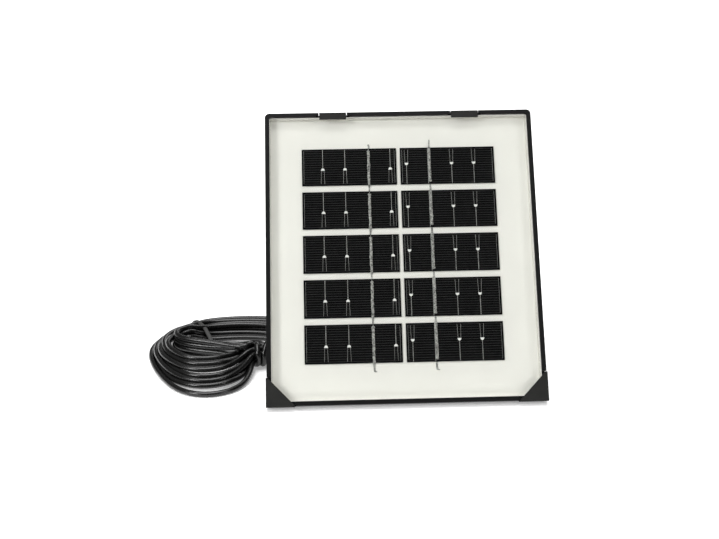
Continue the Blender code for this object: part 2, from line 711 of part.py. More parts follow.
def make_cord(panel):
    look = material("cord_black", (0.012, 0.012, 0.012), 0.35)
    gland_mouth = panel @ (Vector((BOX_X, GLAND_Y, GLAND_END_Z - GAP)) * MM) / MM
    down = Vector((0.0, -sin(radians(LEAN)), -cos(radians(LEAN))))
    lead = [
        gland_mouth,
        gland_mouth + down * 6.0,
        (-39.0, 9.6, 7.4),
        (-34.0, 9.5, 3.0),
        (-26.0, 13.0, 2.0),
        (-20.0, 21.0, 2.0),
        (-18.6, 33.0, 2.0),
        (-18.8, 45.0, 2.0),
        (-19.3, 55.0, 1.8),
    ]
    tube_along("cord_lead", lead, CORD_R, look)

    outline = [Vector((x, y, 0.0)) for x, y in HANK_OUTLINE]
    closed = outline[-2:] + outline + outline[:2]
    loop = smooth_route(closed, 5.0)
    start = min(range(len(loop) // 2), key=lambda index: (loop[index] - outline[0]).length)
    end = max(range(len(loop) // 2, len(loop)), key=lambda index: -(loop[index] - outline[0]).length)
    bm = bmesh.new()
    corners = [(point.x, point.y) for point in loop[start:end]]
    prism(bm, corners, HANK_TOP - 0.05, Matrix.Translation((0, 0, 0.05)))
    hank = finish(bm, "cord_hank", look)
    soften(hank, HANK_ROUNDING, 3)

    boss_mouth = Vector((PUMP_X, PUMP_BACK - BOSS_L - GAP, AXIS_Z - BOSS_BELOW))
    tail = [
        (-57.5, 98.9, 8.8),
        (-54.0, 103.0, 7.6),
        (-49.0, 107.5, 8.4),
        (-44.0, 111.0, 12.0),
        boss_mouth - Vector((0.0, 3.0, 0.6)),
        boss_mouth,
    ]
    tube_along("cord_tail", tail, CORD_R, look)

    # The tie is a thin strap over the back strands of the left loop.
    over = [
        (0.0, 0.0),
        (TIE_REACH, 0.0),
        (TIE_REACH, -TIE_DROP),
        (TIE_REACH + TIE_T, -TIE_DROP),
        (TIE_REACH + TIE_T, TIE_T),
        (0.0, TIE_T),
    ]
    bm = bmesh.new()
    along_x = Matrix(((0, 0, 1, TIE_X), (1, 0, 0, TIE_FRONT_Y), (0, 1, 0, HANK_TOP + GAP), (0, 0, 0, 1)))
    prism(bm, over, TIE_W, along_x)
    finish(bm, "hank_tie", material("tie_black", (0.03, 0.03, 0.03), 0.55))


def make_pump():
    look = material("pump_black", BLACK, 0.42)
    steel = material("core_steel", (0.35, 0.35, 0.36), 0.45, 1.0)
    low_z = AXIS_Z - PUMP_H / 2
    high_z = AXIS_Z + PUMP_H / 2
    back = PUMP_BACK
    axis_at = (PUMP_X, back, AXIS_Z)
    body_outline = rounded_rectangle(PUMP_W, PUMP_H, BODY_CORNER_R, 5, (PUMP_X, AXIS_Z))
    housing = finish(upright(body_outline, back, back + PUMP_L), "pump_housing", look)
    spigot = rod(SPIGOT_R, high_z - 3.0, high_z + SPIGOT_H, (PUMP_X, back + OUTLET_Y, 0.0), "Z", 32)
    boolean(housing, spigot, "add_spigot", "UNION")
    bay_w = PUMP_W - 2 * BAY_WALL
    bay_h = PUMP_H - 2 * BAY_WALL
    motor_outline = rounded_rectangle(bay_w, bay_h, 2.0, 3, (PUMP_X, AXIS_Z))
    boolean(housing, upright(motor_outline, back - 1, back + MOTOR_L), "cut_motor_bay")
    well_out = rod(WELL_R + WELL_WALL, WELL_BOTTOM - WELL_WALL, MOTOR_L + 0.5, axis_at, "Y", 36)
    boolean(housing, well_out, "add_rotor_well", "UNION")
    boolean(housing, rod(WELL_R, WELL_BOTTOM, CHAMBER_BACK + 1, axis_at, "Y", 36), "cut_rotor_well")
    boolean(housing, rod(CHAMBER_R, CHAMBER_BACK, LEDGE + 1, axis_at, "Y", 40), "cut_chamber")
    boolean(housing, rod(COVER_R + GAP, LEDGE, PUMP_L + 1, axis_at, "Y", 40), "cut_cover_seat")
    outlet_low = AXIS_Z + CHAMBER_R - 2
    outlet = rod(OUTLET_R, outlet_low, high_z + SPIGOT_H + 1, (PUMP_X, back + OUTLET_Y, 0), "Z", 28)
    boolean(housing, outlet, "cut_outlet")
    cup_spots = []
    for index, (sx, dy) in enumerate(((-1, 6.0), (1, 6.0), (-1, 27.0), (1, 27.0))):
        spot = (PUMP_X + sx * (PUMP_W / 2 - CUP_INSET), back + dy, 0.0)
        cup_spots.append(spot)
        socket = rod(CUP_SOCKET_R + GAP, low_z - 1, low_z + 1.5, spot, "Z", 20)
        boolean(housing, socket, f"cut_cup_socket_{index + 1}")

    plate_outline = rounded_rectangle(bay_w - 2 * GAP, bay_h - 2 * GAP, 1.8, 3, (PUMP_X, AXIS_Z))
    resin = material("potting_resin", (0.015, 0.015, 0.015), 0.3)
    finish(upright(plate_outline, back + 0.4, back + 1.8), "potting_plate", resin)
    boss_z = AXIS_Z - BOSS_BELOW
    boss = [
        (0.0, back - BOSS_L),
        (2.2, back - BOSS_L),
        (3.4, back - 1.4),
        (BOSS_R, back - 1.4),
        (BOSS_R, back + 0.1),
        (0.0, back + 0.1),
    ]
    boss_mesh = turned(boss, 24, (PUMP_X, 0.0, boss_z), "Y")
    finish(boss_mesh, "cord_boss", material("gland_rubber", (0.02, 0.02, 0.02), 0.7))

    # Motor: a C-shaped core with its winding on the back bridge, legs either side of the rotor well.
    leg_in = WELL_R + WELL_WALL + GAP
    leg_out = leg_in + CORE_LEG_W
    bridge_front = CORE_BACK + CORE_BRIDGE
    core_outline = [
        (PUMP_X - leg_out, back + CORE_BACK),
        (PUMP_X + leg_out, back + CORE_BACK),
        (PUMP_X + leg_out, back + CORE_FRONT),
        (PUMP_X + leg_in, back + CORE_FRONT),
        (PUMP_X + leg_in, back + bridge_front),
        (PUMP_X - leg_in, back + bridge_front),
        (PUMP_X - leg_in, back + CORE_FRONT),
        (PUMP_X - leg_out, back + CORE_FRONT),
    ]
    bm = bmesh.new()
    prism(bm, core_outline, CORE_T, Matrix.Translation((0.0, 0.0, AXIS_Z - CORE_T / 2)))
    finish(bm, "motor_core", steel, smooth=False)
    hole = (CORE_BACK - GAP, bridge_front + GAP)
    winding_low = (PUMP_X - WINDING_W / 2, back + hole[0] - 1.0, AXIS_Z - WINDING_H / 2)
    winding_high = (PUMP_X + WINDING_W / 2, back + hole[1] + 1.0, AXIS_Z + WINDING_H / 2)
    copper = material("winding_copper", (0.45, 0.16, 0.06), 0.35, 1.0)
    winding = finish(box(winding_low, winding_high), "motor_winding", copper, smooth=False)
    half_bore = CORE_T / 2 + GAP
    bore_low = (PUMP_X - WINDING_W, back + hole[0], AXIS_Z - half_bore)
    bore_high = (PUMP_X + WINDING_W, back + hole[1], AXIS_Z + half_bore)
    through = box(bore_low, bore_high)
    boolean(winding, through, "cut_winding_bore")
    board = box((PUMP_X - 8.0, back + 5.0, AXIS_Z + 9.4), (PUMP_X + 8.0, back + 20.0, AXIS_Z + 10.6))
    finish(board, "pump_board", material("board_green", (0.02, 0.10, 0.04), 0.4), smooth=False)

    # Wet rotor on its fixed ceramic shaft.
    cover_back = LEDGE + 0.9
    cover_front = cover_back + 1.8
    ceramic = material("shaft_ceramic", (0.85, 0.84, 0.80), 0.25)
    finish(rod(SHAFT_R, WELL_BOTTOM + GAP, cover_front, axis_at, "Y", 20), "rotor_shaft", ceramic)
    rubber = material("bush_rubber", (0.03, 0.03, 0.03), 0.6)
    bush_bore = SHAFT_R + GAP
    rear_bush = ring(bush_bore, BUSH_REAR_R, WELL_BOTTOM + GAP, WELL_BOTTOM + 2.2, axis_at, "Y")
    finish(rear_bush, "shaft_bush_rear", rubber)
    front_bush = ring(bush_bore, BUSH_FRONT_R, cover_back, cover_front, axis_at, "Y")
    finish(front_bush, "shaft_bush_front", rubber)
    magnet_span = (WELL_BOTTOM + 2.7, CHAMBER_BACK - 2.2)
    ferrite = material("ferrite_magnet", (0.035, 0.033, 0.032), 0.4)
    magnet = ring(bush_bore, MAGNET_R, *magnet_span, axis_at, "Y", 32)
    finish(magnet, "rotor_magnet", ferrite, origin=axis_at)
    wheel_look = material("impeller_white", (0.75, 0.75, 0.72), 0.4)
    hub_back = magnet_span[1] + GAP
    wheel_profile = [
        (bush_bore, hub_back),
        (HUB_R, hub_back),
        (HUB_R, CHAMBER_BACK + 0.5),
        (WHEEL_R, CHAMBER_BACK + 0.5),
        (WHEEL_R, CHAMBER_BACK + 1.5),
        (3.0, CHAMBER_BACK + 1.5),
        (3.0, CHAMBER_BACK + 5.0),
        (bush_bore, CHAMBER_BACK + 5.0),
    ]
    wheel = turned(wheel_profile, 32, axis_at, "Y", closed_ring=True)
    impeller = finish(wheel, "impeller", wheel_look, origin=axis_at)
    blade_back = CHAMBER_BACK + 1.0
    for index in range(BLADES):
        turn = Matrix.Translation(axis_at) @ Matrix.Rotation(2 * pi * index / BLADES, 4, "Y")
        blade = box((-0.5, blade_back, 2.4), (0.5, blade_back + BLADE_H, WHEEL_R - 0.4))
        bmesh.ops.transform(blade, matrix=turn, verts=blade.verts)
        boolean(impeller, blade, f"add_blade_{index + 1}", "UNION")

    cover_mesh = ring(BUSH_FRONT_R + GAP, COVER_R, cover_back, cover_front, axis_at, "Y", 40)
    cover = finish(cover_mesh, "volute_cover", look)
    inlets = []
    for index in range(INLETS):
        angle = 2 * pi * index / INLETS
        spot = (PUMP_X + INLET_AT * cos(angle), back, AXIS_Z + INLET_AT * sin(angle))
        inlets.append(rod(INLET_R, cover_back - 1, cover_front + 1, spot, "Y", 14))
    boolean(cover, merge(*inlets), "cut_inlets")
    seal = []
    for step in range(10):
        angle = 2 * pi * step / 10
        seal.append((SEAL_R + SEAL_D / 2 * cos(angle), LEDGE + 0.46 + SEAL_D / 2 * sin(angle)))
    seal_look = material("seal_rubber", (0.25, 0.05, 0.03), 0.5)
    finish(turned(seal, 40, axis_at, "Y", closed_ring=True), "seal_ring", seal_look)
    return cup_spots, high_z


def make_intake():
    """The slotted cage over the front of the pump, with the flow slider in its face."""
    look = material("cage_black", BLACK, 0.45)
    base = PUMP_BACK + PUMP_L + GAP
    outline = rounded_rectangle(PUMP_W, PUMP_H, BODY_CORNER_R, 5, (PUMP_X, AXIS_Z))
    start = (PUMP_X, base, AXIS_Z)
    cage = finish(upright(outline, base, base + CAGE_L), "intake_cover", look, origin=start)
    inside = rounded_rectangle(PUMP_W - 2 * CAGE_WALL, PUMP_H - 2 * CAGE_WALL, 2.5, 4, (PUMP_X, AXIS_Z))
    face = base + CAGE_L - CAGE_WALL
    boolean(cage, upright(inside, base - 1, face), "cut_cage_inside")
    slots = []
    lower_span = (AXIS_Z - CAGE_SLOT_TO, AXIS_Z - CAGE_SLOT_FROM)
    upper_span = (AXIS_Z + CAGE_SLOT_FROM, AXIS_Z + CAGE_SLOT_TO)
    for index in range(CAGE_SLOTS):
        x = PUMP_X + (index - (CAGE_SLOTS - 1) / 2) * CAGE_SLOT_PITCH
        for low, high in (lower_span, upper_span):
            slots.append(box((x - SLOT_W / 2, face - 1, low), (x + SLOT_W / 2, face + 3, high)))
    for side in (-1, 1):
        for index in range(2):
            y = base + 3.2 + index * 3.4
            low_x, high_x = sorted((PUMP_X + side * (PUMP_W / 2 - 3), PUMP_X + side * (PUMP_W / 2 + 1)))
            slots.append(box((low_x, y, AXIS_Z - 7.0), (high_x, y + SLOT_W, AXIS_Z + 7.0)))
    boolean(cage, merge(*slots), "cut_cage_slots")
    rail = SLIDER_TRAVEL / 2 + 1.5 + GAP
    window_low = (PUMP_X - rail, face - 1, AXIS_Z - NECK_H / 2 - GAP)
    window_high = (PUMP_X + rail, face + 3, AXIS_Z + NECK_H / 2 + GAP)
    boolean(cage, box(window_low, window_high), "cut_slider_window")

    knob_x = PUMP_X - SLIDER_TRAVEL / 2
    slider_at = (knob_x, face, AXIS_Z)
    inside_face = face - GAP
    plate_low = (knob_x - 5.0, inside_face - 1.2, AXIS_Z - 9.0)
    plate_high = (knob_x + 5.0, inside_face, AXIS_Z + 9.0)
    back_plate = box(plate_low, plate_high)
    grey = material("slider_grey", (0.10, 0.10, 0.10), 0.5)
    slider = finish(back_plate, "flow_slider", grey, origin=slider_at)
    outside_face = base + CAGE_L
    neck_low = (knob_x - 1.5, inside_face - 0.6, AXIS_Z - NECK_H / 2)
    neck_high = (knob_x + 1.5, outside_face + 1.0, AXIS_Z + NECK_H / 2)
    boolean(slider, box(neck_low, neck_high), "add_slider_neck", "UNION")
    knob_low = (knob_x - 2.5, outside_face + GAP, AXIS_Z - 2.6)
    knob_high = (knob_x + 2.5, outside_face + 2.4, AXIS_Z + 2.6)
    boolean(slider, box(knob_low, knob_high), "add_slider_knob", "UNION")
    child_of(slider, cage)


def make_outlet(top):
    """Riser tube pushed over the spigot, and the spray nozzle pushed over the riser."""
    clear = material("riser_smoke", (0.05, 0.05, 0.055), 0.3)
    x = PUMP_X
    y = PUMP_BACK + OUTLET_Y
    start = top + GAP
    seat = top + SPIGOT_H + GAP
    end = seat + RISER_L
    bore = SPIGOT_R + GAP
    profile = [
        (bore, start),
        (bore + 1.7, start),
        (bore + 1.7, start + 3.0),
        (bore + 1.2, start + 3.6),
        (bore + 1.2, seat + 1.0),
        (RISER_R, seat + 2.4),
        (RISER_R, end),
        (OUTLET_R, end),
        (OUTLET_R, seat),
        (bore, seat),
    ]
    tube = turned(profile, 32, (x, y, 0.0), closed_ring=True)
    riser = finish(tube, "riser_tube", clear, origin=(x, y, start))
    nozzle_start = end - 7.0
    nozzle_top = end + 6.5
    shell = [
        (0.0, nozzle_top - 1.8),
        (6.6, nozzle_top - 1.8),
        (6.4, end + 2.0),
        (RISER_R + GAP, end + GAP),
        (RISER_R + GAP, nozzle_start),
        (6.4, nozzle_start),
        (6.4, nozzle_start + 3.0),
        (8.6, end + 2.0),
        (NOZZLE_R, nozzle_top - 1.6),
        (8.0, nozzle_top - 0.4),
        (3.0, nozzle_top),
        (0.0, nozzle_top),
    ]
    mesh = turned(shell, 32, (x, y, 0.0))
    nozzle = finish(mesh, "spray_nozzle", material("nozzle_black", BLACK, 0.4), origin=(x, y, nozzle_start))
    jets = [rod(1.0, nozzle_top - 4, nozzle_top + 2, (x, y, 0.0), "Z", 12)]
    for radius, count in JET_RINGS:
        for index in range(count):
            angle = 2 * pi * index / count
            spot = (x + radius * cos(angle), y + radius * sin(angle), 0.0)
            jets.append(rod(JET_R, nozzle_top - 4, nozzle_top + 2, spot, "Z", 10))
    boolean(nozzle, merge(*jets), "cut_jets")
    child_of(nozzle, riser)


def make_suction_cups(spots):
    look = material("cup_rubber", (0.03, 0.03, 0.032), 0.5)
    low_z = AXIS_Z - PUMP_H / 2
    for index, spot in enumerate(spots):
        profile = [
            (0.0, 2.2),
            (2.0, 2.0),
            (CUP_R - 1.2, 0.0),
            (CUP_R, 0.0),
            (CUP_R - 0.3, 0.8),
            (3.0, 3.6),
            (2.6, low_z - 1.6),
            (3.4, low_z - 1.6),
            (3.4, low_z - GAP),
            (CUP_SOCKET_R, low_z - GAP),
            (CUP_SOCKET_R, low_z + 1.2),
            (0.0, low_z + 1.2),
        ]
        finish(turned(profile, 24, spot), f"suction_cup_{index + 1}", look)


def main():
    clear_scene()
    panel = panel_matrix()
    make_frame(panel)
    make_laminate(panel)
    make_clips(panel)
    make_corner_caps(panel)
    make_junction_box(panel)
    make_stand(panel)
    make_cord(panel)
    cup_spots, pump_top = make_pump()
    make_intake()
    make_outlet(pump_top)
    make_suction_cups(cup_spots)


main()
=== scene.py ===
"""Looks of the solar fountain pump: its cord, printed cells, solder, finishes, light and camera."""
from math import cos, pi, radians, sin

import bmesh
import bpy
import numpy as np
from mathutils import Matrix, Vector


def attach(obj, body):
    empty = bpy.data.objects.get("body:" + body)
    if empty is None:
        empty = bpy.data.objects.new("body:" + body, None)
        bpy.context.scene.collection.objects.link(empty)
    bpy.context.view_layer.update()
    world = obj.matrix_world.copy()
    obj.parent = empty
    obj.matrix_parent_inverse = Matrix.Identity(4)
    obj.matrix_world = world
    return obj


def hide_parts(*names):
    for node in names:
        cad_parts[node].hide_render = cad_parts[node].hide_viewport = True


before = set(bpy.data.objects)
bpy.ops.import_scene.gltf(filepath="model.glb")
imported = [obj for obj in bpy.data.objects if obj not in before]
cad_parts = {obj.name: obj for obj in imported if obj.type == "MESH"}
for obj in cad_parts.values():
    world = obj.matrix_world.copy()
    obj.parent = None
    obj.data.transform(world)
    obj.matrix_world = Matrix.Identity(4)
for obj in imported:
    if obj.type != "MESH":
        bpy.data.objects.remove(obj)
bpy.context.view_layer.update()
MM = 0.001
ROOT = "panel_and_pump"

# The panel's own frame, as in the CAD model: x right, y from the front face back, z up the panel.
LEAN = radians(30.0)
PANEL_W = 136.0
PANEL_H = 148.0
PANEL_DEPTH = 9.0
REST_FACET = 2.6
LIFT = (PANEL_DEPTH - REST_FACET) * sin(LEAN)
FACET_MIDDLE = (PANEL_DEPTH - REST_FACET) * cos(LEAN) + REST_FACET / cos(LEAN) / 2
PANEL = Matrix.Translation((0.0, -FACET_MIDDLE * MM, LIFT * MM)) @ Matrix.Rotation(-LEAN, 4, "X")

RIM = 2.2
GLASS_FRONT = 1.0
CELL_W = 48.2
CELL_H = 19.3
COLUMN_GAP = 1.9
ROW_PITCH = 22.6
ROWS = 5
BLOCK_X = -0.45
BLOCK_TOP = PANEL_H / 2 + 1.0 + ((ROWS - 1) * ROW_PITCH + CELL_H) / 2
CELL_FRONT = 4.15
SHEET_FRONT = 4.75
RIBBON_X = {"left": -15.6, "right": 15.5}
RIBBON_ABOVE = 2.5

CORD_D = 3.0

# The camera is the one fitted to the photo. It stands in front of the panel and looks down on it.
CAMERA_LENS = 47.92
CAMERA_SENSOR = 36.0
CAMERA_AT = (-0.0332, -0.42124, 0.2149)
CAMERA_FORWARD = (0.02425, 0.94498, -0.32623)
CAMERA_UP = (0.02110, 0.32577, 0.94521)
# Light of the world on the pieces. The camera sees the world itself at full strength, as white.
WORLD_LIGHT = 0.12
FLOOR_SIZE = 6.0
FLOOR_GLOW = 0.32
SUN_POWER = 3.2
SUN_SPREAD = 50.0
LIT_MIDDLE = (-0.02, 0.05, 0.06)


# ---------------------------------------------------------------- camera, floor and light

def aim(thing, forward, up):
    """Point a camera or a light along forward, with its top towards up."""
    back = -Vector(forward).normalized()
    right = Vector(up).cross(back).normalized()
    top = back.cross(right)
    turn = Matrix((right, top, back)).transposed().to_4x4()
    thing.matrix_world = Matrix.Translation(thing.location) @ turn


def make_camera():
    """The camera of the photo."""
    data = bpy.data.cameras.new("camera")
    data.lens = CAMERA_LENS
    data.sensor_width = CAMERA_SENSOR
    data.clip_start = 0.02
    data.clip_end = 50.0
    camera = bpy.data.objects.new("camera", data)
    bpy.context.scene.collection.objects.link(camera)
    camera.location = CAMERA_AT
    aim(camera, CAMERA_FORWARD, CAMERA_UP)
    bpy.context.scene.camera = camera


def area_light(name, location, size, power):
    """A square soft light that points at the middle of the object."""
    data = bpy.data.lights.new(name, "AREA")
    data.energy = power
    data.size = size
    light = bpy.data.objects.new(name, data)
    bpy.context.scene.collection.objects.link(light)
    light.location = location
    aim(light, Vector(LIT_MIDDLE) - Vector(location), (0.0, 0.0, 1.0))


def make_studio():
    """A white world, a white floor, a broad sun overhead and three soft lights."""
    world = bpy.data.worlds.new("studio")
    bpy.context.scene.world = world
    world.use_nodes = True
    background = world.node_tree.nodes["Background"]
    background.inputs["Color"].default_value = (1.0, 1.0, 1.0, 1.0)
    link = world.node_tree.links.new
    seen = world.node_tree.nodes.new("ShaderNodeLightPath")
    level = world.node_tree.nodes.new("ShaderNodeMapRange")
    level.inputs["To Min"].default_value = WORLD_LIGHT
    level.inputs["To Max"].default_value = 1.0
    link(seen.outputs["Is Camera Ray"], level.inputs["Value"])
    link(level.outputs["Result"], background.inputs["Strength"])
    bpy.context.scene.view_settings.view_transform = "Standard"

    bm = bmesh.new()
    bmesh.ops.create_grid(bm, x_segments=1, y_segments=1, size=FLOOR_SIZE)
    mesh = bpy.data.meshes.new("floor")
    bm.to_mesh(mesh)
    bm.free()
    floor = bpy.data.objects.new("floor", mesh)
    bpy.context.scene.collection.objects.link(floor)
    white = bpy.data.materials.new("floor_white")
    white.use_nodes = True
    shader = white.node_tree.nodes["Principled BSDF"]
    shader.inputs["Base Color"].default_value = (0.95, 0.95, 0.95, 1.0)
    shader.inputs["Roughness"].default_value = 0.9
    shader.inputs["Specular IOR Level"].default_value = 0.1
    shader.inputs["Emission Color"].default_value = (1.0, 1.0, 1.0, 1.0)
    shader.inputs["Emission Strength"].default_value = FLOOR_GLOW
    mesh.materials.append(white)

    overhead = bpy.data.lights.new("overhead", "SUN")
    overhead.energy = SUN_POWER
    overhead.angle = radians(SUN_SPREAD)
    above = bpy.data.objects.new("overhead", overhead)
    bpy.context.scene.collection.objects.link(above)
    above.location = (0.0, 0.0, 2.0)
    aim(above, (0.06, 0.03, -1.0), (0.0, 1.0, 0.0))
    area_light("left_front", (-1.2, -0.9, 0.9), 0.6, 16.0)
    area_light("right_front", (1.3, -1.0, 0.8), 0.8, 9.0)
    area_light("behind", (0.3, 1.5, 0.9), 1.0, 5.0)


# ---------------------------------------------------------------- finishes

def looks_like(name, colour, roughness, grain=0.35, bump=0.12, vary=0.12, metallic=0.0, coat=0.0,
               specular=0.25, patch=9.0, rough_vary=0.10):
    """A finish with a fine grain (mm), a slow change of colour over patches (mm) and uneven gloss."""
    made = bpy.data.materials.new(name)
    made.use_nodes = True
    nodes = made.node_tree.nodes
    link = made.node_tree.links.new
    shader = nodes["Principled BSDF"]
    shader.inputs["Metallic"].default_value = metallic
    shader.inputs["Coat Weight"].default_value = coat
    shader.inputs["Specular IOR Level"].default_value = specular
    place = nodes.new("ShaderNodeTexCoord")

    slow = nodes.new("ShaderNodeTexNoise")
    slow.inputs["Scale"].default_value = 1.0 / (patch * MM)
    slow.inputs["Detail"].default_value = 3.0
    link(place.outputs["Object"], slow.inputs["Vector"])
    tint = nodes.new("ShaderNodeValToRGB")
    tint.color_ramp.elements[0].position = 0.3
    tint.color_ramp.elements[0].color = (*[c * (1 - vary) for c in colour], 1.0)
    tint.color_ramp.elements[1].position = 0.7
    tint.color_ramp.elements[1].color = (*[min(1.0, c * (1 + vary)) for c in colour], 1.0)
    link(slow.outputs["Fac"], tint.inputs["Fac"])
    link(tint.outputs["Color"], shader.inputs["Base Color"])

    fine = nodes.new("ShaderNodeTexNoise")
    fine.inputs["Scale"].default_value = 1.0 / (grain * MM)
    fine.inputs["Detail"].default_value = 2.0
    link(place.outputs["Object"], fine.inputs["Vector"])
    gloss = nodes.new("ShaderNodeMapRange")
    gloss.inputs["To Min"].default_value = max(0.02, roughness - rough_vary)
    gloss.inputs["To Max"].default_value = min(1.0, roughness + rough_vary)
    link(fine.outputs["Fac"], gloss.inputs["Value"])
    link(gloss.outputs["Result"], shader.inputs["Roughness"])
    if bump:
        relief = nodes.new("ShaderNodeBump")
        relief.inputs["Strength"].default_value = bump
        relief.inputs["Distance"].default_value = grain * MM * 0.4
        link(fine.outputs["Fac"], relief.inputs["Height"])
        link(relief.outputs["Normal"], shader.inputs["Normal"])
    return made


def clear_glass():
    """Clear sheet glass: almost all is seen through it, with a reflection that grows at a low angle."""
    made = bpy.data.materials.new("front_glass")
    made.use_nodes = True
    nodes = made.node_tree.nodes
    nodes.clear()
    link = made.node_tree.links.new
    through = nodes.new("ShaderNodeBsdfTransparent")
    through.inputs["Color"].default_value = (0.985, 0.99, 0.985, 1.0)
    mirror = nodes.new("ShaderNodeBsdfGlossy")
    mirror.inputs["Roughness"].default_value = 0.04
    edge = nodes.new("ShaderNodeFresnel")
    edge.inputs["IOR"].default_value = 1.25
    mixed = nodes.new("ShaderNodeMixShader")
    out = nodes.new("ShaderNodeOutputMaterial")
    link(edge.outputs["Fac"], mixed.inputs["Fac"])
    link(through.outputs["BSDF"], mixed.inputs[1])
    link(mirror.outputs["BSDF"], mixed.inputs[2])
    link(mixed.outputs["Shader"], out.inputs["Surface"])
    return made


def make_finishes():
    """One finish for each material slot of the record."""
    black = (0.0034, 0.0034, 0.0036)
    charcoal = (0.0105, 0.0105, 0.0098)
    steel = (0.55, 0.55, 0.54)
    return {
        "frame_black": looks_like("frame_black", black, 0.34, 0.5, 0.08),
        "clip_charcoal": looks_like("clip_charcoal", charcoal, 0.55, 0.45, 0.35, 0.2, specular=0.16),
        "front_glass": clear_glass(),
        "silicon": looks_like("silicon", (0.0018, 0.0019, 0.0023), 0.30, 0.12, 0.0, 0.3, patch=2.2,
                              specular=0.015, rough_vary=0.02),
        "tinned_copper": looks_like("tinned_copper", (0.50, 0.50, 0.48), 0.42, 0.5, 0.5, 0.25, 0.9,
                                    patch=1.6),
        "backsheet_white": looks_like("backsheet_white", (0.90, 0.885, 0.835), 0.5, 0.3, 0.1, 0.015,
                                      patch=14.0),
        "box_black": looks_like("box_black", black, 0.46, 0.35, 0.4, 0.15),
        "screw_steel": looks_like("screw_steel", steel, 0.28, 0.25, 0.15, 0.12, 1.0, patch=1.5),
        "board_green": looks_like("board_green", (0.015, 0.085, 0.03), 0.35, 0.4, 0.1, 0.2, patch=2.0),
        "diode_black": looks_like("diode_black", (0.011, 0.011, 0.011), 0.35, 0.2, 0.15),
        "gland_rubber": looks_like("gland_rubber", (0.017, 0.017, 0.017), 0.62, 0.3, 0.3),
        "stand_black": looks_like("stand_black", black, 0.42, 0.4, 0.45, 0.15),
        "pad_rubber": looks_like("pad_rubber", (0.02, 0.02, 0.02), 0.75, 0.3, 0.5, 0.2),
        "cord_black": looks_like("cord_black", (0.0034, 0.0034, 0.0033), 0.27, 0.5, 0.08, 0.2, patch=5.0,
                                 specular=0.5, rough_vary=0.05),
        "tie_black": looks_like("tie_black", (0.035, 0.035, 0.034), 0.5, 0.3, 0.3, 0.15),
        "pump_black": looks_like("pump_black", black, 0.38, 0.35, 0.3, 0.15),
        "potting_resin": looks_like("potting_resin", (0.014, 0.014, 0.014), 0.22, 1.5, 0.2, 0.15),
        "core_steel": looks_like("core_steel", (0.30, 0.30, 0.31), 0.45, 0.4, 0.3, 0.2, 1.0, patch=2.0),
        "winding_copper": looks_like("winding_copper", (0.45, 0.15, 0.05), 0.32, 0.25, 0.6, 0.2, 1.0,
                                     patch=1.5),
        "shaft_ceramic": looks_like("shaft_ceramic", (0.82, 0.81, 0.76), 0.22, 0.2, 0.05, 0.03),
        "bush_rubber": looks_like("bush_rubber", (0.03, 0.03, 0.03), 0.6, 0.3, 0.3),
        "ferrite_magnet": looks_like("ferrite_magnet", (0.035, 0.033, 0.032), 0.4, 0.3, 0.25, 0.2),
        "impeller_white": looks_like("impeller_white", (0.74, 0.74, 0.70), 0.38, 0.4, 0.1, 0.03),
        "seal_rubber": looks_like("seal_rubber", (0.22, 0.045, 0.03), 0.5, 0.3, 0.2),
        "cage_black": looks_like("cage_black", black, 0.42, 0.35, 0.35, 0.15),
        "slider_grey": looks_like("slider_grey", (0.085, 0.085, 0.085), 0.48, 0.35, 0.3, 0.15),
        "riser_smoke": looks_like("riser_smoke", (0.035, 0.036, 0.040), 0.22, 0.5, 0.05, 0.1, coat=0.3),
        "nozzle_black": looks_like("nozzle_black", black, 0.36, 0.35, 0.25, 0.15),
        "cup_rubber": looks_like("cup_rubber", (0.03, 0.03, 0.032), 0.45, 0.4, 0.15),
        "solder": looks_like("solder", (0.34, 0.34, 0.32), 0.34, 0.5, 0.8, 0.8, 0.5, patch=0.8,
                             rough_vary=0.2),
        "pad_silver": looks_like("pad_silver", (0.90, 0.90, 0.87), 0.5, 0.3, 0.1, 0.05, patch=1.0),
        "finger_silver": looks_like("finger_silver", (0.060, 0.060, 0.058), 0.6, 0.3, 0.0, 0.3, patch=1.5),
    }


FINISHES = make_finishes()


def dress_nodes():
    """Every CAD node keeps its shape and gets the finish of its slot."""
    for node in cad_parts.values():
        for place in node.material_slots:
            place.material = FINISHES[place.material.name.split(".")[0]]


# ---------------------------------------------------------------- pieces

def piece(bm, name, slot, body=ROOT, matrix=None, smooth=True, sharp=35.0):
    """Make a piece from a mesh in millimetres, in the world or in the frame of a matrix."""
    bmesh.ops.recalc_face_normals(bm, faces=bm.faces)
    for vertex in bm.verts:
        vertex.co = vertex.co * MM
    if matrix:
        bmesh.ops.transform(bm, matrix=matrix, verts=bm.verts)
    mesh = bpy.data.meshes.new(name)
    bm.to_mesh(mesh)
    bm.free()
    if smooth:
        mesh.shade_smooth()
        mesh.set_sharp_from_angle(angle=radians(sharp))
    mesh.materials.append(FINISHES[slot])
    made = bpy.data.objects.new(name, mesh)
    bpy.context.scene.collection.objects.link(made)
    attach(made, body)
    return made


def round_edges(names, width, segments=3, angle=40.0):
    """Rounded edges on CAD nodes, whose own meshes stay as they are."""
    for name in names:
        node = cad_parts[name]
        weld = node.modifiers.new("weld", "WELD")
        weld.merge_threshold = 0.00001
        bevel = node.modifiers.new("edges", "BEVEL")
        bevel.width = width * MM
        bevel.segments = segments
        bevel.limit_method = "ANGLE"
        bevel.angle_limit = radians(angle)
        bevel.harden_normals = True
        bevel.use_clamp_overlap = True


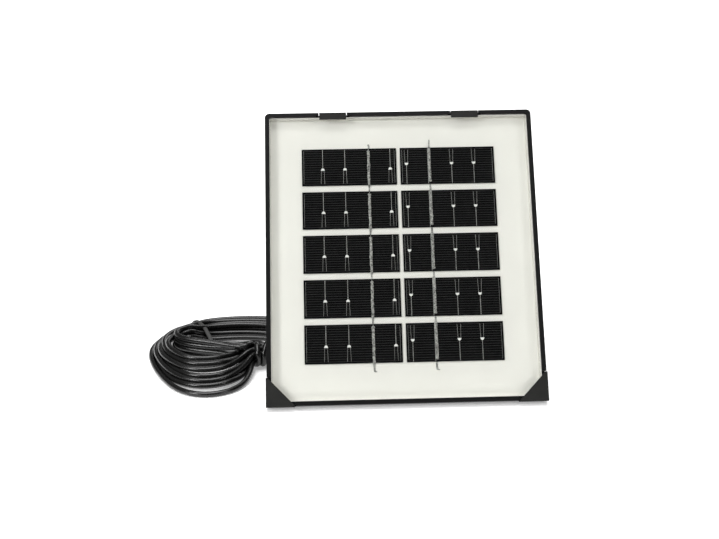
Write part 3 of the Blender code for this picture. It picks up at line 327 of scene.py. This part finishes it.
def add_box(bm, low, high):
    """A closed box between two corners."""
    corners = []
    for x in (low[0], high[0]):
        for y in (low[1], high[1]):
            for z in (low[2], high[2]):
                corners.append(bm.verts.new((x, y, z)))
    for face in ((0, 1, 3, 2), (4, 6, 7, 5), (0, 4, 5, 1), (2, 3, 7, 6), (0, 2, 6, 4), (1, 5, 7, 3)):
        bm.faces.new([corners[index] for index in face])


def add_prism(bm, outline, front, back):
    """A closed plate whose outline is x, z in the panel's frame, from depth front to depth back."""
    near = [bm.verts.new((x, front, z)) for x, z in outline]
    far = [bm.verts.new((x, back, z)) for x, z in outline]
    bm.faces.new(near)
    bm.faces.new(far)
    for index in range(len(outline)):
        after = (index + 1) % len(outline)
        bm.faces.new((near[index], near[after], far[after], far[index]))


# ---------------------------------------------------------------- printed cells, solder and seal

FINGER_MARGIN = 1.0
FINGER_COUNT = 15
FINGER_W = 0.12
EDGE_LINE_W = 0.09
BUS_LINE_W = 0.22
FORK_LINE_W = 0.12
FORK_GAP = 1.6
FORK_SPLAY = 0.12
PRINT_T = 0.03
PAD_AT = 0.56
PAD_W = 1.95
PAD_H = 1.25
# Busbars of the left column, from its left edge. The right column is the same cell turned half round.
BUSBARS = (10.6, 21.9, 34.0, 45.0)
RIBBON_BUSBAR = 2


def cell_corner(word, row):
    """Left and upper edge of a cell in the panel's frame."""
    left = BLOCK_X - COLUMN_GAP / 2 - CELL_W if word == "left" else BLOCK_X + COLUMN_GAP / 2
    return left, BLOCK_TOP - row * ROW_PITCH


def pad_outline(x, z, flip):
    """A pad with a domed top where the line meets it and a flat foot where the fork starts."""
    points = [(-PAD_W / 2, -PAD_H * 0.45), (PAD_W / 2, -PAD_H * 0.45)]
    for step in range(9):
        angle = pi * step / 8
        points.append((PAD_W / 2 * 0.92 * cos(angle), -PAD_H * 0.25 + PAD_H * 0.8 * sin(angle)))
    return [(x + flip * px, z + flip * pz) for px, pz in points]


def make_cell_print(word, row):
    """Fingers, edge lines, busbars, pads and forks of one cell, printed in silver."""
    left, top = cell_corner(word, row)
    back = CELL_FRONT - 0.005
    front = back - PRINT_T
    flip = 1 if word == "left" else -1
    middle_x = left + CELL_W / 2
    middle_z = top - CELL_H / 2
    bm = bmesh.new()

    def place(x, z):
        """From a left-column cell's own corner to the panel, turned half round for the right column."""
        return middle_x + flip * (x - CELL_W / 2), middle_z + flip * (CELL_H / 2 - z)

    def line(x_from, z_from, x_to, z_to, width):
        (ax, az), (bx, bz) = place(x_from, z_from), place(x_to, z_to)
        along = Vector((bx - ax, bz - az)).normalized()
        side = Vector((-along.y, along.x)) * width / 2
        outline = [(ax + side.x, az + side.y), (bx + side.x, bz + side.y), (bx - side.x, bz - side.y),
                   (ax - side.x, az - side.y)]
        add_prism(bm, outline, front, back)

    high = FINGER_MARGIN
    low = CELL_H - FINGER_MARGIN
    for index in range(FINGER_COUNT):
        z = high + (low - high) * index / (FINGER_COUNT - 1)
        line(FINGER_MARGIN, z, CELL_W - FINGER_MARGIN, z, FINGER_W)
    for face in bm.faces:
        face.material_index = 1
    for x in (FINGER_MARGIN, CELL_W - FINGER_MARGIN):
        line(x, high, x, low, EDGE_LINE_W)
    pad_z = CELL_H * PAD_AT
    for index, x in enumerate(BUSBARS):
        if index == RIBBON_BUSBAR:
            line(x, 0.3, x, CELL_H - 0.3, BUS_LINE_W)
            continue
        line(x, 0.3, x, pad_z, BUS_LINE_W)
        if row > 1:
            for step in range(12):
                z = 0.8 + (pad_z - 1.6) * step / 11
                line(x - 0.22, z, x + 0.22, z, 0.22)
        for side in (-1, 1):
            near = side * (FORK_GAP / 2 - FORK_SPLAY)
            far = side * (FORK_GAP / 2 + FORK_SPLAY)
            line(x + near, pad_z + PAD_H * 0.3, x + far, low, FORK_LINE_W)
        pad_x, pad_height = place(x, pad_z)
        before = len(bm.faces)
        add_prism(bm, pad_outline(pad_x, pad_height, flip), front - 0.02, back)
        bm.faces.ensure_lookup_table()
        for face in bm.faces[before:]:
            face.material_index = 2
    made = piece(bm, f"cell_print_{row + 1}_{word}", "tinned_copper", matrix=PANEL, smooth=False)
    made.data.materials.append(FINISHES["finger_silver"])
    made.data.materials.append(FINISHES["pad_silver"])
    return made


RIBBON_W = 1.25
RIBBON_T = 0.16
RIBBON_INSET = 1.7
# How much wider the ribbon gets for each mm of its random wander, and how much narrower it is in the gap.
WIDTH_WANDER = 1.3
GAP_NARROWING = 0.4
LIE = 0.06
STEPS_ON_CELL = 60
STEPS_IN_GAP = 14
FREE_END_W = 1.0
FREE_END_T = 0.14
FREE_END_STEPS = 8
FREE_END_BOW = 0.3
HOOK_W = 0.7
HOOK_R = 0.45
HOOK_DROP = 0.55


def wander(random, length, size, waves=5):
    """A smooth random function of a distance along a strip."""
    phases = random.uniform(0.0, 2 * pi, waves)
    rates = 2 * pi * np.arange(1, waves + 1) / length * random.uniform(0.7, 1.3, waves)
    sizes = size * random.uniform(0.4, 1.0, waves) / np.sqrt(np.arange(1, waves + 1))
    return lambda s: float((sizes * np.sin(rates * s + phases)).sum())


def add_strip(bm, spine, widths, height):
    """A closed, slightly domed strip along spine points (x, depth, z), each with its own width."""
    rings = []
    for (x, depth, z), width in zip(spine, widths):
        half = width / 2
        section = ((-half, 0.0), (-half, -height * 0.5), (-half * 0.55, -height), (half * 0.55, -height),
                   (half, -height * 0.5), (half, 0.0))
        rings.append([bm.verts.new((x + dx, depth + dy, z)) for dx, dy in section])
    for one, two in zip(rings, rings[1:]):
        for index in range(6):
            after = (index + 1) % 6
            bm.faces.new((one[index], one[after], two[after], two[index]))
    bm.faces.new(rings[0])
    bm.faces.new(list(reversed(rings[-1])))


def add_blob(bm, x, depth, z, width, length, height):
    """A flattened drop of solder."""
    made = bmesh.ops.create_uvsphere(bm, u_segments=14, v_segments=8, radius=1.0)
    for vertex in made["verts"]:
        out = vertex.co.copy()
        # Domed to the front and almost flat to the back.
        y = depth - max(0.0, out.y) * height + min(0.0, out.y) * 0.02
        vertex.co = (x + out.x * width / 2, y, z + out.z * length / 2)


def make_ribbons(word):
    """The tinned ribbons of one column: over each cell, then down through the gap and under the next."""
    random = np.random.default_rng(7 if word == "left" else 11)
    flip = 1 if word == "left" else -1
    bm = bmesh.new()
    on_cell = CELL_FRONT - LIE
    in_gap = SHEET_FRONT - LIE
    for row in range(ROWS):
        left, top = cell_corner(word, row)
        bottom = top - CELL_H
        # The left ribbon starts a little below the cell's upper edge and leaves at the lower one. The right
        # ribbon does the same the other way up.
        start = top - RIBBON_INSET if flip > 0 else bottom + RIBBON_INSET
        edge = bottom if flip > 0 else top
        leave = -flip * (ROW_PITCH - CELL_H)
        sideways = wander(random, CELL_H, 0.06)
        thickness = wander(random, CELL_H, 0.10)
        spine = []
        widths = []
        for step in range(STEPS_ON_CELL + 1):
            s = step / STEPS_ON_CELL
            z = start + (edge - start) * s
            spine.append((RIBBON_X[word] + sideways(z - top), on_cell, z))
            widths.append(RIBBON_W + thickness(z - top) * WIDTH_WANDER)
        for step in range(1, STEPS_IN_GAP + 1):
            s = step / STEPS_IN_GAP
            end_row = (row == ROWS - 1 and flip > 0) or (row == 0 and flip < 0)
            reach = leave * (1.3 if end_row else 0.97)
            z = edge + reach * s
            depth = on_cell + (in_gap - on_cell) * min(1.0, s * 1.6)
            x = RIBBON_X[word] + sideways(edge - top) * (1 - s) + (0.25 * s * s if end_row else 0.0)
            spine.append((x, depth, z))
            narrower = GAP_NARROWING * min(1.0, 3 * s)
            widths.append(RIBBON_W + thickness(edge - top) * WIDTH_WANDER - narrower)
        add_strip(bm, spine, widths, RIBBON_T)
        add_blob(bm, RIBBON_X[word], on_cell - 0.08, start, 1.75, 1.3, 0.28)
        for _ in range(4):
            z = random.uniform(bottom + 2.0, top - 2.5)
            x = RIBBON_X[word] + random.uniform(-0.35, 0.35)
            add_blob(bm, x, on_cell - 0.1, z, random.uniform(0.7, 1.3), random.uniform(0.7, 2.6), 0.24)
    # Free ends above and below the block, the lower one bent into a hook.
    first_top = BLOCK_TOP
    last_bottom = BLOCK_TOP - (ROWS - 1) * ROW_PITCH - CELL_H
    steps = FREE_END_STEPS
    points = range(steps + 1)
    free_end = []
    for t in points:
        bow = FREE_END_BOW * sin(pi * t / steps)
        if flip > 0:
            z = first_top - 0.5 + (RIBBON_ABOVE + 0.3) * t / steps
            free_end.append((RIBBON_X[word] + bow, in_gap, z))
        else:
            z = last_bottom + 0.4 - 4.2 * t / steps
            free_end.append((RIBBON_X[word] - bow, in_gap, z))
    add_strip(bm, free_end, [FREE_END_W] * (steps + 1), FREE_END_T)
    hook_x = RIBBON_X[word] + (0.25 if flip > 0 else 0.0)
    hook_z = last_bottom - (4.0 if flip > 0 else 3.6)
    hook = []
    for t in points:
        angle = pi + pi * t / steps
        x = hook_x + HOOK_R + HOOK_R * cos(angle)
        hook.append((x, in_gap - 0.02, hook_z + HOOK_DROP * sin(angle)))
    add_strip(bm, hook, [HOOK_W] * (steps + 1), FREE_END_T)
    made = piece(bm, f"ribbon_{word}", "tinned_copper", matrix=PANEL, sharp=60.0)
    made.data.materials[0] = FINISHES["solder"]
    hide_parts(f"bus_ribbon_{word}")
    return made


def make_edge_seal():
    """The pale sealant round the edge of the laminate, between it and the frame."""
    inner_w = PANEL_W - 2 * RIM
    bm = bmesh.new()
    near = GLASS_FRONT + 0.15
    far = SHEET_FRONT + 0.3
    out = 0.04
    thick = 0.2
    low_x, high_x = -inner_w / 2 + out, inner_w / 2 - out
    low_z, high_z = RIM + out, PANEL_H - RIM - out
    add_box(bm, (low_x, near, low_z), (low_x + thick, far, high_z))
    add_box(bm, (high_x - thick, near, low_z), (high_x, far, high_z))
    add_box(bm, (low_x + thick + 0.01, near, high_z - thick), (high_x - thick - 0.01, far, high_z))
    add_box(bm, (low_x + thick + 0.01, near, low_z), (high_x - thick - 0.01, far, low_z + thick))
    return piece(bm, "edge_seal", "backsheet_white", matrix=PANEL, smooth=False)


# ---------------------------------------------------------------- grommets and screws

# Where the cord leaves the junction box, in the panel's frame, and where it enters the pump, in the world.
BOX_X = -40.0
GLAND_Y = 13.45
BOX_LOW = 40.0
PUMP_BACK = 127.0
BOSS_Z = 17.0
GLAND_TIP = 24.72
GLAND_BASE = BOX_LOW - 1.9
GLAND_RIBS = 6
BOSS_TIP = PUMP_BACK - 9.28
BOSS_BASE = PUMP_BACK - 1.5
BOSS_RIBS = 4
# Half sections as radius and distance from the wall: a collar that grips the box, and a flange on the pump.
GLAND_COLLAR = (
    (4.4, -1.8), (4.6, -1.6), (4.6, -0.5), (4.4, -0.3), (3.0, -0.3),
    (3.0, 1.9), (3.9, 1.9), (3.9, 3.1), (0.0, 3.1),
)
BOSS_FLANGE = ((4.7, -1.4), (5.0, -1.1), (5.0, 0.1), (0.0, 0.1))
RIB_DEPTH = 0.5

# Screws as node, x and z. Sizes as shank radius, tip, seat of the head, head radius and head height.
LID_SCREWS = (("lid_screw_upper", -56.2, 66.2), ("lid_screw_lower", -23.8, 43.8))
LID_SCREW_SIZE = (1.0, 11.55, 19.95, 2.0, 1.2)
BRACKET_SCREWS = (("bracket_screw_left", -13.0, 103.5), ("bracket_screw_right", 13.0, 103.5))
BRACKET_SCREW_SIZE = (1.5, 7.65, 10.25, 2.7, 1.6)
SCREW_STEPS = 72
HEAD_RINGS = 26
RECESS_TURN = 0.6


def add_lathe(bm, profile, place=None, steps=40):
    """A closed solid turned about Z, from radius and height pairs that start and end on the axis."""
    rings = []
    for radius, height in profile:
        if radius == 0:
            rings.append([bm.verts.new((0.0, 0.0, height))] * steps)
            continue
        angles = [2 * pi * step / steps for step in range(steps)]
        rings.append([bm.verts.new((radius * cos(angle), radius * sin(angle), height)) for angle in angles])
    for lower, upper in zip(rings, rings[1:]):
        for step in range(steps):
            after = (step + 1) % steps
            corners = []
            for corner in (lower[step], lower[after], upper[after], upper[step]):
                if corner not in corners:
                    corners.append(corner)
            bm.faces.new(corners)
    if place:
        bmesh.ops.transform(bm, matrix=place, verts=bm.verts)


def boot_profile(tip, base, tip_r, base_r, ribs, foot):
    """Half section of a ringed rubber boot that widens from tip to base, with its foot behind that."""
    pitch = (base - tip) / ribs
    profile = [(0.0, tip), (tip_r - 0.35, tip), (tip_r - 0.1, tip + 0.15)]
    for index in range(ribs):
        start = tip + index * pitch
        radius = tip_r + (base_r - tip_r) * (index + 0.5) / ribs
        profile.append((radius, start + 0.25))
        profile.append((radius + 0.05, start + pitch * 0.35))
        profile.append((radius, start + pitch * 0.6))
        profile.append((radius - RIB_DEPTH, start + pitch * 0.68))
        profile.append((radius - RIB_DEPTH, start + pitch * 0.92))
    return profile + foot


def make_boots():
    """The ringed strain reliefs where the cord leaves the junction box and enters the pump."""
    collar = [(radius, BOX_LOW + away) for radius, away in GLAND_COLLAR]
    profile = boot_profile(GLAND_TIP, GLAND_BASE, 2.2, 3.5, GLAND_RIBS, collar)
    bm = bmesh.new()
    add_lathe(bm, profile, Matrix.Translation((BOX_X, GLAND_Y, 0.0)))
    gland = piece(bm, "gland_boot", "gland_rubber", matrix=PANEL, sharp=50.0)
    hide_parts("cable_gland")

    flange = [(radius, PUMP_BACK + away) for radius, away in BOSS_FLANGE]
    profile = boot_profile(BOSS_TIP, BOSS_BASE, 2.15, 3.4, BOSS_RIBS, flange)
    along_y = Matrix.Translation((BOX_X, 0.0, BOSS_Z)) @ Matrix.Rotation(-pi / 2, 4, "X")
    bm = bmesh.new()
    add_lathe(bm, profile, along_y)
    boss = piece(bm, "pump_boot", "gland_rubber", sharp=50.0)
    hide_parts("cord_boss")


def make_screw(node, x, z, shank_r, tip, seat, head_r, head_h):
    """A pan-head screw with a cross recess, its axis along the panel's depth, its head at the back."""
    steps = SCREW_STEPS
    recess = head_r * 0.58
    slot_w = head_r * 0.16
    depth = head_h * 0.55
    bm = bmesh.new()

    def top(radius, angle):
        """Height of the domed head less its recess, whose walls slope a little."""
        share = radius / head_r
        height = seat + head_h * (1.0 - 0.45 * share ** 4)
        across = abs(radius * cos(angle + RECESS_TURN))
        along = abs(radius * sin(angle + RECESS_TURN))
        inside = min(slot_w - min(across, along), recess - max(across, along))
        return height - depth * min(1.0, max(0.0, inside / (slot_w * 0.35)))

    outline = [(shank_r * 0.7, tip), (shank_r, tip + 0.5), (shank_r, seat), (head_r - 0.1, seat),
               (head_r, seat + 0.12)]
    rings = []
    for radius, height in outline:
        ring = []
        for k in range(steps):
            angle = 2 * pi * k / steps
            ring.append((radius * cos(angle), radius * sin(angle), height))
        rings.append(ring)
    for number in range(HEAD_RINGS):
        radius = head_r * (1.0 - number / HEAD_RINGS)
        ring = []
        for k in range(steps):
            angle = 2 * pi * k / steps
            ring.append((radius * cos(angle), radius * sin(angle), top(radius, angle)))
        rings.append(ring)
    rings = [[bm.verts.new(point) for point in ring] for ring in rings]
    for lower, upper in zip(rings, rings[1:]):
        for k in range(steps):
            after = (k + 1) % steps
            bm.faces.new((lower[k], lower[after], upper[after], upper[k]))
    bm.faces.new(list(reversed(rings[0])))
    bm.faces.new(rings[-1])
    place = Matrix.Translation((x, 0.0, z)) @ Matrix.Rotation(-pi / 2, 4, "X")
    bmesh.ops.transform(bm, matrix=place, verts=bm.verts)
    made = piece(bm, f"{node}_head", "screw_steel", matrix=PANEL, sharp=40.0)
    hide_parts(node)


# ---------------------------------------------------------------- the cord

# Lead from the junction box to the hank, and tail from the hank to the pump, in mm.
LEAD = (
    (-40.0, 16.96, 17.87), (-40.0, 13.96, 12.67), (-39.0, 9.6, 7.4), (-34.0, 9.5, 3.0), (-26.0, 13.0, 2.0),
    (-20.0, 21.0, 2.0), (-18.6, 33.0, 2.0), (-18.8, 45.0, 2.0), (-19.3, 55.0, 1.8),
)
TAIL = (
    (-69.6, 53.5, 12.8), (-68.8, 59.5, 9.8), (-67.8, 65.0, 5.6), (-66.0, 70.5, 2.8), (-64.0, 76.0, 3.4),
    (-61.5, 82.0, 7.4), (-59.5, 88.0, 10.0), (-58.0, 93.5, 10.4), (-57.5, 98.7, 8.8), (-54.0, 103.0, 7.6),
    (-49.0, 107.5, 8.4), (-44.0, 111.0, 12.0), (-40.0, 114.7, 16.4), (-40.0, 117.7, 17.0),
)
# The hank is a stack of turns seen from above, anticlockwise from the front of the right loop. Each turn
# is a mix of the outermost and the innermost turn. Heights are the middle of the strand.
OUTER_TURN = (
    (-32, 46, 1.6), (-22.5, 63, 1.6), (-28.5, 81, 1.6), (-46, 93, 1.6), (-74, 102.5, 1.6), (-102, 103, 1.6),
    (-125, 93.5, 1.6), (-136, 75, 1.6), (-133.5, 55, 1.6), (-125, 34, 1.6), (-115.5, 17.5, 1.6),
    (-103, 9.3, 1.6),
    (-91, 11, 1.6), (-82.5, 17.5, 2.4), (-79, 28, 3.6), (-80.5, 39.5, 5.8), (-74, 47.5, 7.6), (-63, 47, 4.5),
    (-46, 42, 1.6),
)
INNER_TURN = (
    (-46, 56, 4), (-36.5, 65, 4), (-42, 76, 4), (-56, 82, 3), (-76, 85, 3), (-100, 87, 3),
    (-118, 84, 6), (-128.5, 71, 9), (-127, 57, 10), (-121, 45.5, 10.5), (-113.5, 38.6, 10.5),
    (-105, 36.2, 10.5),
    (-96.5, 37.5, 10.5), (-90, 41.5, 10), (-85.5, 47, 8.5), (-80, 52, 6.5), (-73, 55, 4), (-63, 54, 4),
    (-54, 53, 4),
)
# Three turns cut straight across the left loop to the waist, and five lie on the ground inside it.
ACROSS_TURN = (
    (-46, 56, 6), (-36.5, 65, 6), (-42, 76, 6), (-56, 82, 5), (-76, 83, 5), (-98, 85, 6),
    (-114.5, 82, 8), (-123.5, 74, 9.5), (-123.5, 64.5, 10.5), (-116, 59, 10.5), (-108.5, 56.5, 10.5),
    (-101, 54.5, 10.5),
    (-93, 52.5, 10.5), (-86, 50.5, 10.5), (-80.5, 49, 10), (-76, 48, 9), (-70, 48, 7.6), (-62, 50, 7),
    (-54, 52, 6.5),
)
LOW_TURN = (
    (-46, 58, 1.6), (-36.5, 67, 1.6), (-42, 77, 1.6), (-56, 82, 1.6), (-76, 85, 1.6), (-98, 87.5, 1.6),
    (-113, 87, 1.6), (-120.5, 81, 1.6), (-118, 75, 1.6), (-111, 73.5, 1.6), (-103, 73.5, 1.6), (-97, 74, 1.6),
    (-91, 74.5, 1.6), (-85.5, 73.5, 1.6), (-81, 70, 1.6), (-77, 66.5, 1.6), (-71, 63, 1.6), (-63, 60, 1.6),
    (-54, 57, 1.6),
)
STATIONS = len(OUTER_TURN)
PER_STATION = 14
WAIST_STATION = 15.6
ON_GROUND = CORD_D / 2 + 0.05
# Every turn: its path and how far it is from that path's own line (a share of the way to the innermost turn,
# mm higher, or mm further forward), its row in the pile, its column at the back and in the right loop, and
# how it passes the waist: an angle round the middle strand, no angle for the middle strand itself, or mm
# behind and mm high.
TURNS = (
    ("stack", 0.00, 0, 0.0, 0.0, 210),
    ("stack", 0.28, 0, 1.0, 1.0, 270),
    ("low", 20.0, 0, 2.0, 2.0, (8.2, 1.6)),
    ("stack", 0.40, 1, 0.0, 0.0, 150),
    ("stack", 0.53, 1, 1.0, 1.0, None),
    ("low", 13.0, 0, 3.0, 3.0, (11.3, 1.6)),
    ("stack", 0.69, 1, 2.0, 2.0, 90),
    ("stack", 0.85, 2, 0.0, 0.0, (9.8, 4.2)),
    ("stack", 1.00, 2, 1.0, 1.0, (12.9, 4.2)),
    ("low", 7.0, 0, 4.2, 4.0, (14.4, 1.6)),
    ("low", 3.0, 1, 3.7, 3.0, (17.5, 1.6)),
    ("low", 0.0, 2, 2.1, 2.0, (16.0, 4.2)),
    ("across", -3.6, 0, 6.9, 5.1, 330),
    ("across", -0.8, 1, 4.9, 4.0, 30),
    ("across", 2.0, 2, 3.2, 3.0, None),
)
PILE_ACROSS = 3.05
PILE_ROW_SHIFT = 1.5
PILE_UP = 2.65
WAIST = (-70.0, 48.0, 7.7)
# The last turn ends in wraps round the waist.
LAST_STATION = 11.2
INTO_WRAP = ((-94.0, 51.5, 12.0), (-87.5, 48.2, 12.6))
WRAP_R = 6.15
WRAP_FROM = 55.0
WRAP_TO = 830.0
WRAP_START_X = -80.0
WRAP_PITCH = 3.15


def through(points, per_span, closed=False):
    """A smooth curve (Catmull-Rom) through points."""
    points = np.array(points, float)
    if closed:
        ends = np.vstack([points[-1:], points, points[:2]])
    else:
        ends = np.vstack([2 * points[:1] - points[1:2], points, 2 * points[-1:] - points[-2:-1]])
    out = []
    for before, start, end, after in zip(ends, ends[1:], ends[2:], ends[3:]):
        for t in np.arange(per_span) / per_span:
            out.append(0.5 * (2 * start + (end - before) * t
                              + (2 * before - 5 * start + 4 * end - after) * t ** 2
                              + (3 * start - before - 3 * end + after) * t ** 3))
    if not closed:
        out.append(points[-1])
    return np.array(out)


def evenly(points, step):
    """The same line, read at an even step."""
    lengths = np.linalg.norm(np.diff(points, axis=0), axis=1)
    along = np.concatenate([[0.0], np.cumsum(lengths)])
    count = max(2, round(along[-1] / step))
    wanted = np.linspace(0.0, along[-1], count + 1)
    return np.stack([np.interp(wanted, along, points[:, axis]) for axis in range(3)], axis=1)


def ease(value):
    """From 0 to 1 with a soft start and a soft end."""
    value = np.clip(value, 0.0, 1.0)
    return value * value * (3 - 2 * value)


def hank_turn(index):
    """One closed turn of the hank, with its strand in its own place at the back and at the waist."""
    kind, amount, row, back_column, right_column, waist_place = TURNS[index]
    outer = through(OUTER_TURN, PER_STATION, closed=True)
    station = np.arange(len(outer)) / PER_STATION
    if kind == "stack":
        inner = through(INNER_TURN, PER_STATION, closed=True)
        turn = outer * (1 - amount) + inner * amount
    elif kind == "across":
        turn = through(ACROSS_TURN, PER_STATION, closed=True)
        turn[:, 2] += amount
    else:
        turn = through(LOW_TURN, PER_STATION, closed=True)
        turn[:, 1] -= amount * np.sin(np.clip((station - 6) / 9.5, 0, 1) * pi)

    in_pile = np.maximum(ease((6.8 - station) / 1.6), ease((station - 16.8) / 1.6))
    along = np.roll(outer, -1, axis=0) - np.roll(outer, 1, axis=0)
    inward = np.stack([-along[:, 1], along[:, 0]], axis=1)
    inward /= np.linalg.norm(inward, axis=1)[:, None]
    at_back = ease((station - 1.5) / 2.0) * (station < WAIST_STATION)
    column = right_column + (back_column - right_column) * at_back
    place = outer[:, :2] + inward * (column * PILE_ACROSS + row * PILE_ROW_SHIFT)[:, None]
    turn[:, :2] += in_pile[:, None] * (place - turn[:, :2])
    turn[:, 2] += in_pile * (ON_GROUND + PILE_UP * row - turn[:, 2])

    y, z = WAIST[1:]
    if isinstance(waist_place, tuple):
        y += waist_place[0]
        z = waist_place[1]
    elif waist_place is not None:
        y += CORD_D * cos(radians(waist_place))
        z += CORD_D * sin(radians(waist_place))
    waist = ease((1.9 - np.abs(station - WAIST_STATION)) / 1.4)
    turn[:, 1] += waist * (y - turn[:, 1])
    turn[:, 2] += waist * (z - turn[:, 2])
    return turn


def cord_route():
    """The whole cord: lead, all turns of the hank, the wraps round its waist, and the tail."""
    turns = [hank_turn(index) for index in range(len(TURNS))]
    pieces = [through(LEAD, 10)]
    for index, turn in enumerate(turns[:-1]):
        first = PER_STATION if index == 0 else 0
        station = np.arange(first, len(turn)) / PER_STATION
        shift = ease((station - 16.6) / (STATIONS - 16.6))[:, None]
        pieces.append(turn[first:] * (1 - shift) + turns[index + 1][first:] * shift)
    last = int(LAST_STATION * PER_STATION)
    pieces.append(turns[-1][:last])
    angle = np.radians(np.linspace(WRAP_FROM, WRAP_TO, 60))
    wrap = np.stack([
        WRAP_START_X + WRAP_PITCH * (angle - angle[0]) / (2 * pi),
        WAIST[1] - WRAP_R * np.cos(angle),
        WAIST[2] + WRAP_R * np.sin(angle),
    ], axis=1)
    pieces.append(through([turns[-1][last], *INTO_WRAP, wrap[0]], 8))
    pieces.append(wrap)
    pieces.append(through(TAIL, 10))
    return evenly(np.vstack(pieces), 2.4)


def settle(route, rounds, pull, stiff, sink, points=None):
    """Let the strands push each other apart, keep their length, bend smoothly and rest on the ground."""
    points = (route if points is None else points).copy()
    spans = np.linalg.norm(np.diff(points, axis=0), axis=1)
    apart = int(np.ceil(2.4 * CORD_D / spans.mean()))
    ends = [0, 1, len(points) - 2, len(points) - 1]
    kept = points[ends].copy()
    for number in range(rounds):
        if number % 8 == 0:
            squares = (points ** 2).sum(axis=1)
            gaps = squares[:, None] + squares[None, :] - 2 * points @ points.T
            first, second = np.nonzero(gaps < (1.9 * CORD_D) ** 2)
            near = second - first > apart
            first, second = first[near], second[near]
        points[:, 2] -= sink
        points[1:-1] += stiff * (0.5 * (points[:-2] + points[2:]) - points[1:-1])
        points += pull * (route - points)
        for _ in range(3):
            span = points[1:] - points[:-1]
            length = np.linalg.norm(span, axis=1)
            fix = (0.45 * (length - spans) / length)[:, None] * span
            points[:-1] += fix
            points[1:] -= fix
            between = points[second] - points[first]
            distance = np.maximum(np.linalg.norm(between, axis=1), 1e-6)
            close = distance < CORD_D
            push = (0.6 * (CORD_D - distance[close]) / distance[close])[:, None] * between[close]
            moved = np.zeros_like(points)
            np.add.at(moved, first[close], -push)
            np.add.at(moved, second[close], push)
            count = np.bincount(np.r_[first[close], second[close]], minlength=len(points))
            points += moved / np.maximum(count, 1)[:, None]
            points[:, 2] = np.maximum(points[:, 2], ON_GROUND)
            points[ends] = kept
    return points


def curve_piece(name, points, radius, slot, sides=4):
    """A round cord along points in millimetres."""
    curve = bpy.data.curves.new(name, "CURVE")
    curve.dimensions = "3D"
    curve.bevel_depth = radius * MM
    curve.bevel_resolution = sides
    curve.use_fill_caps = True
    line = curve.splines.new("POLY")
    line.points.add(len(points) - 1)
    for spot, point in zip(line.points, points):
        spot.co = (*(Vector(point) * MM), 1.0)
    line.use_smooth = True
    curve.materials.append(FINISHES[slot])
    made = bpy.data.objects.new(name, curve)
    bpy.context.scene.collection.objects.link(made)
    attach(made, ROOT)
    return made


# The tie is a strap round the pile at the back, a little askew. Its points go over the pile, front to back.
TIE_OVER = (
    (-103.5, 75.0, 0.9), (-103.9, 75.4, 3.2), (-106.0, 79.5, 5.2), (-108.5, 84.5, 7.2), (-111.5, 89.0, 8.3),
    (-114.5, 94.0, 7.9), (-116.5, 98.2, 5.8), (-117.5, 100.8, 3.6), (-117.8, 101.6, 1.2), (-116.8, 99.5, 0.3),
    (-110.5, 87.0, 0.3), (-104.4, 76.5, 0.3),
)
TIE_W = 2.3
TIE_T = 0.55


def make_tie():
    """A flat strap swept round its closed path, with its flat side to the bundle."""
    path = through(TIE_OVER, 10, closed=True)
    middle = path.mean(axis=0)
    along = np.roll(path, -1, axis=0) - np.roll(path, 1, axis=0)
    along /= np.linalg.norm(along, axis=1)[:, None]
    plane = np.cross(along, path - middle).mean(axis=0)
    plane /= np.linalg.norm(plane)
    bm = bmesh.new()
    rings = []
    for point, direction in zip(path, along):
        out = np.cross(plane, direction)
        out /= np.linalg.norm(out)
        if out @ (point - middle) < 0:
            out = -out
        corners = ((-0.5, 0.0), (-0.42, 0.8), (-0.3, 1.0), (0.3, 1.0), (0.42, 0.8), (0.5, 0.0))
        rings.append([bm.verts.new(point + plane * TIE_W * a + out * TIE_T * (b - 0.5)) for a, b in corners])
    for index, ring in enumerate(rings):
        after = rings[(index + 1) % len(rings)]
        for side in range(len(ring)):
            beside = (side + 1) % len(ring)
            bm.faces.new((ring[side], ring[beside], after[beside], after[side]))
    tie = piece(bm, "cord_tie", "tie_black", sharp=50.0)
    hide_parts("hank_tie")
    return tie


# Rounds of settling, each as rounds, pull to the route, stiffness and sink for each round.
SETTLING = ((200, 0.05, 0.30, 0.03), (140, 0.02, 0.30, 0.03), (60, 0.0, 0.10, 0.0))


def make_cord():
    """The whole cord as one piece, laid along its settled route."""
    route = cord_route()
    settled = None
    for rounds, pull, stiff, sink in SETTLING:
        settled = settle(route, rounds, pull, stiff, sink, settled)
    path = evenly(through(settled, 3), 1.6)
    cord = curve_piece("pump_cord", path, CORD_D / 2, "cord_black")
    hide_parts("cord_lead", "cord_hank", "cord_tail")
    return cord


make_camera()
make_studio()
dress_nodes()
for column in ("left", "right"):
    for cell_row in range(ROWS):
        make_cell_print(column, cell_row)
    make_ribbons(column)
make_edge_seal()
make_boots()
for node, x, z in LID_SCREWS:
    make_screw(node, x, z, *LID_SCREW_SIZE)
for node, x, z in BRACKET_SCREWS:
    make_screw(node, x, z, *BRACKET_SCREW_SIZE)
round_edges(("panel_frame", "corner_cap_left", "corner_cap_right"), 0.22)
round_edges(("junction_box", "junction_lid", "hinge_bracket", "prop_leg", "foot_pad"), 0.4)
round_edges(("thumb_screw", "clamp_nut", "riser_tube", "spray_nozzle", "flow_slider"), 0.2)
round_edges(("pump_housing", "intake_cover"), 0.35)
cord = make_cord()
tie = make_tie()
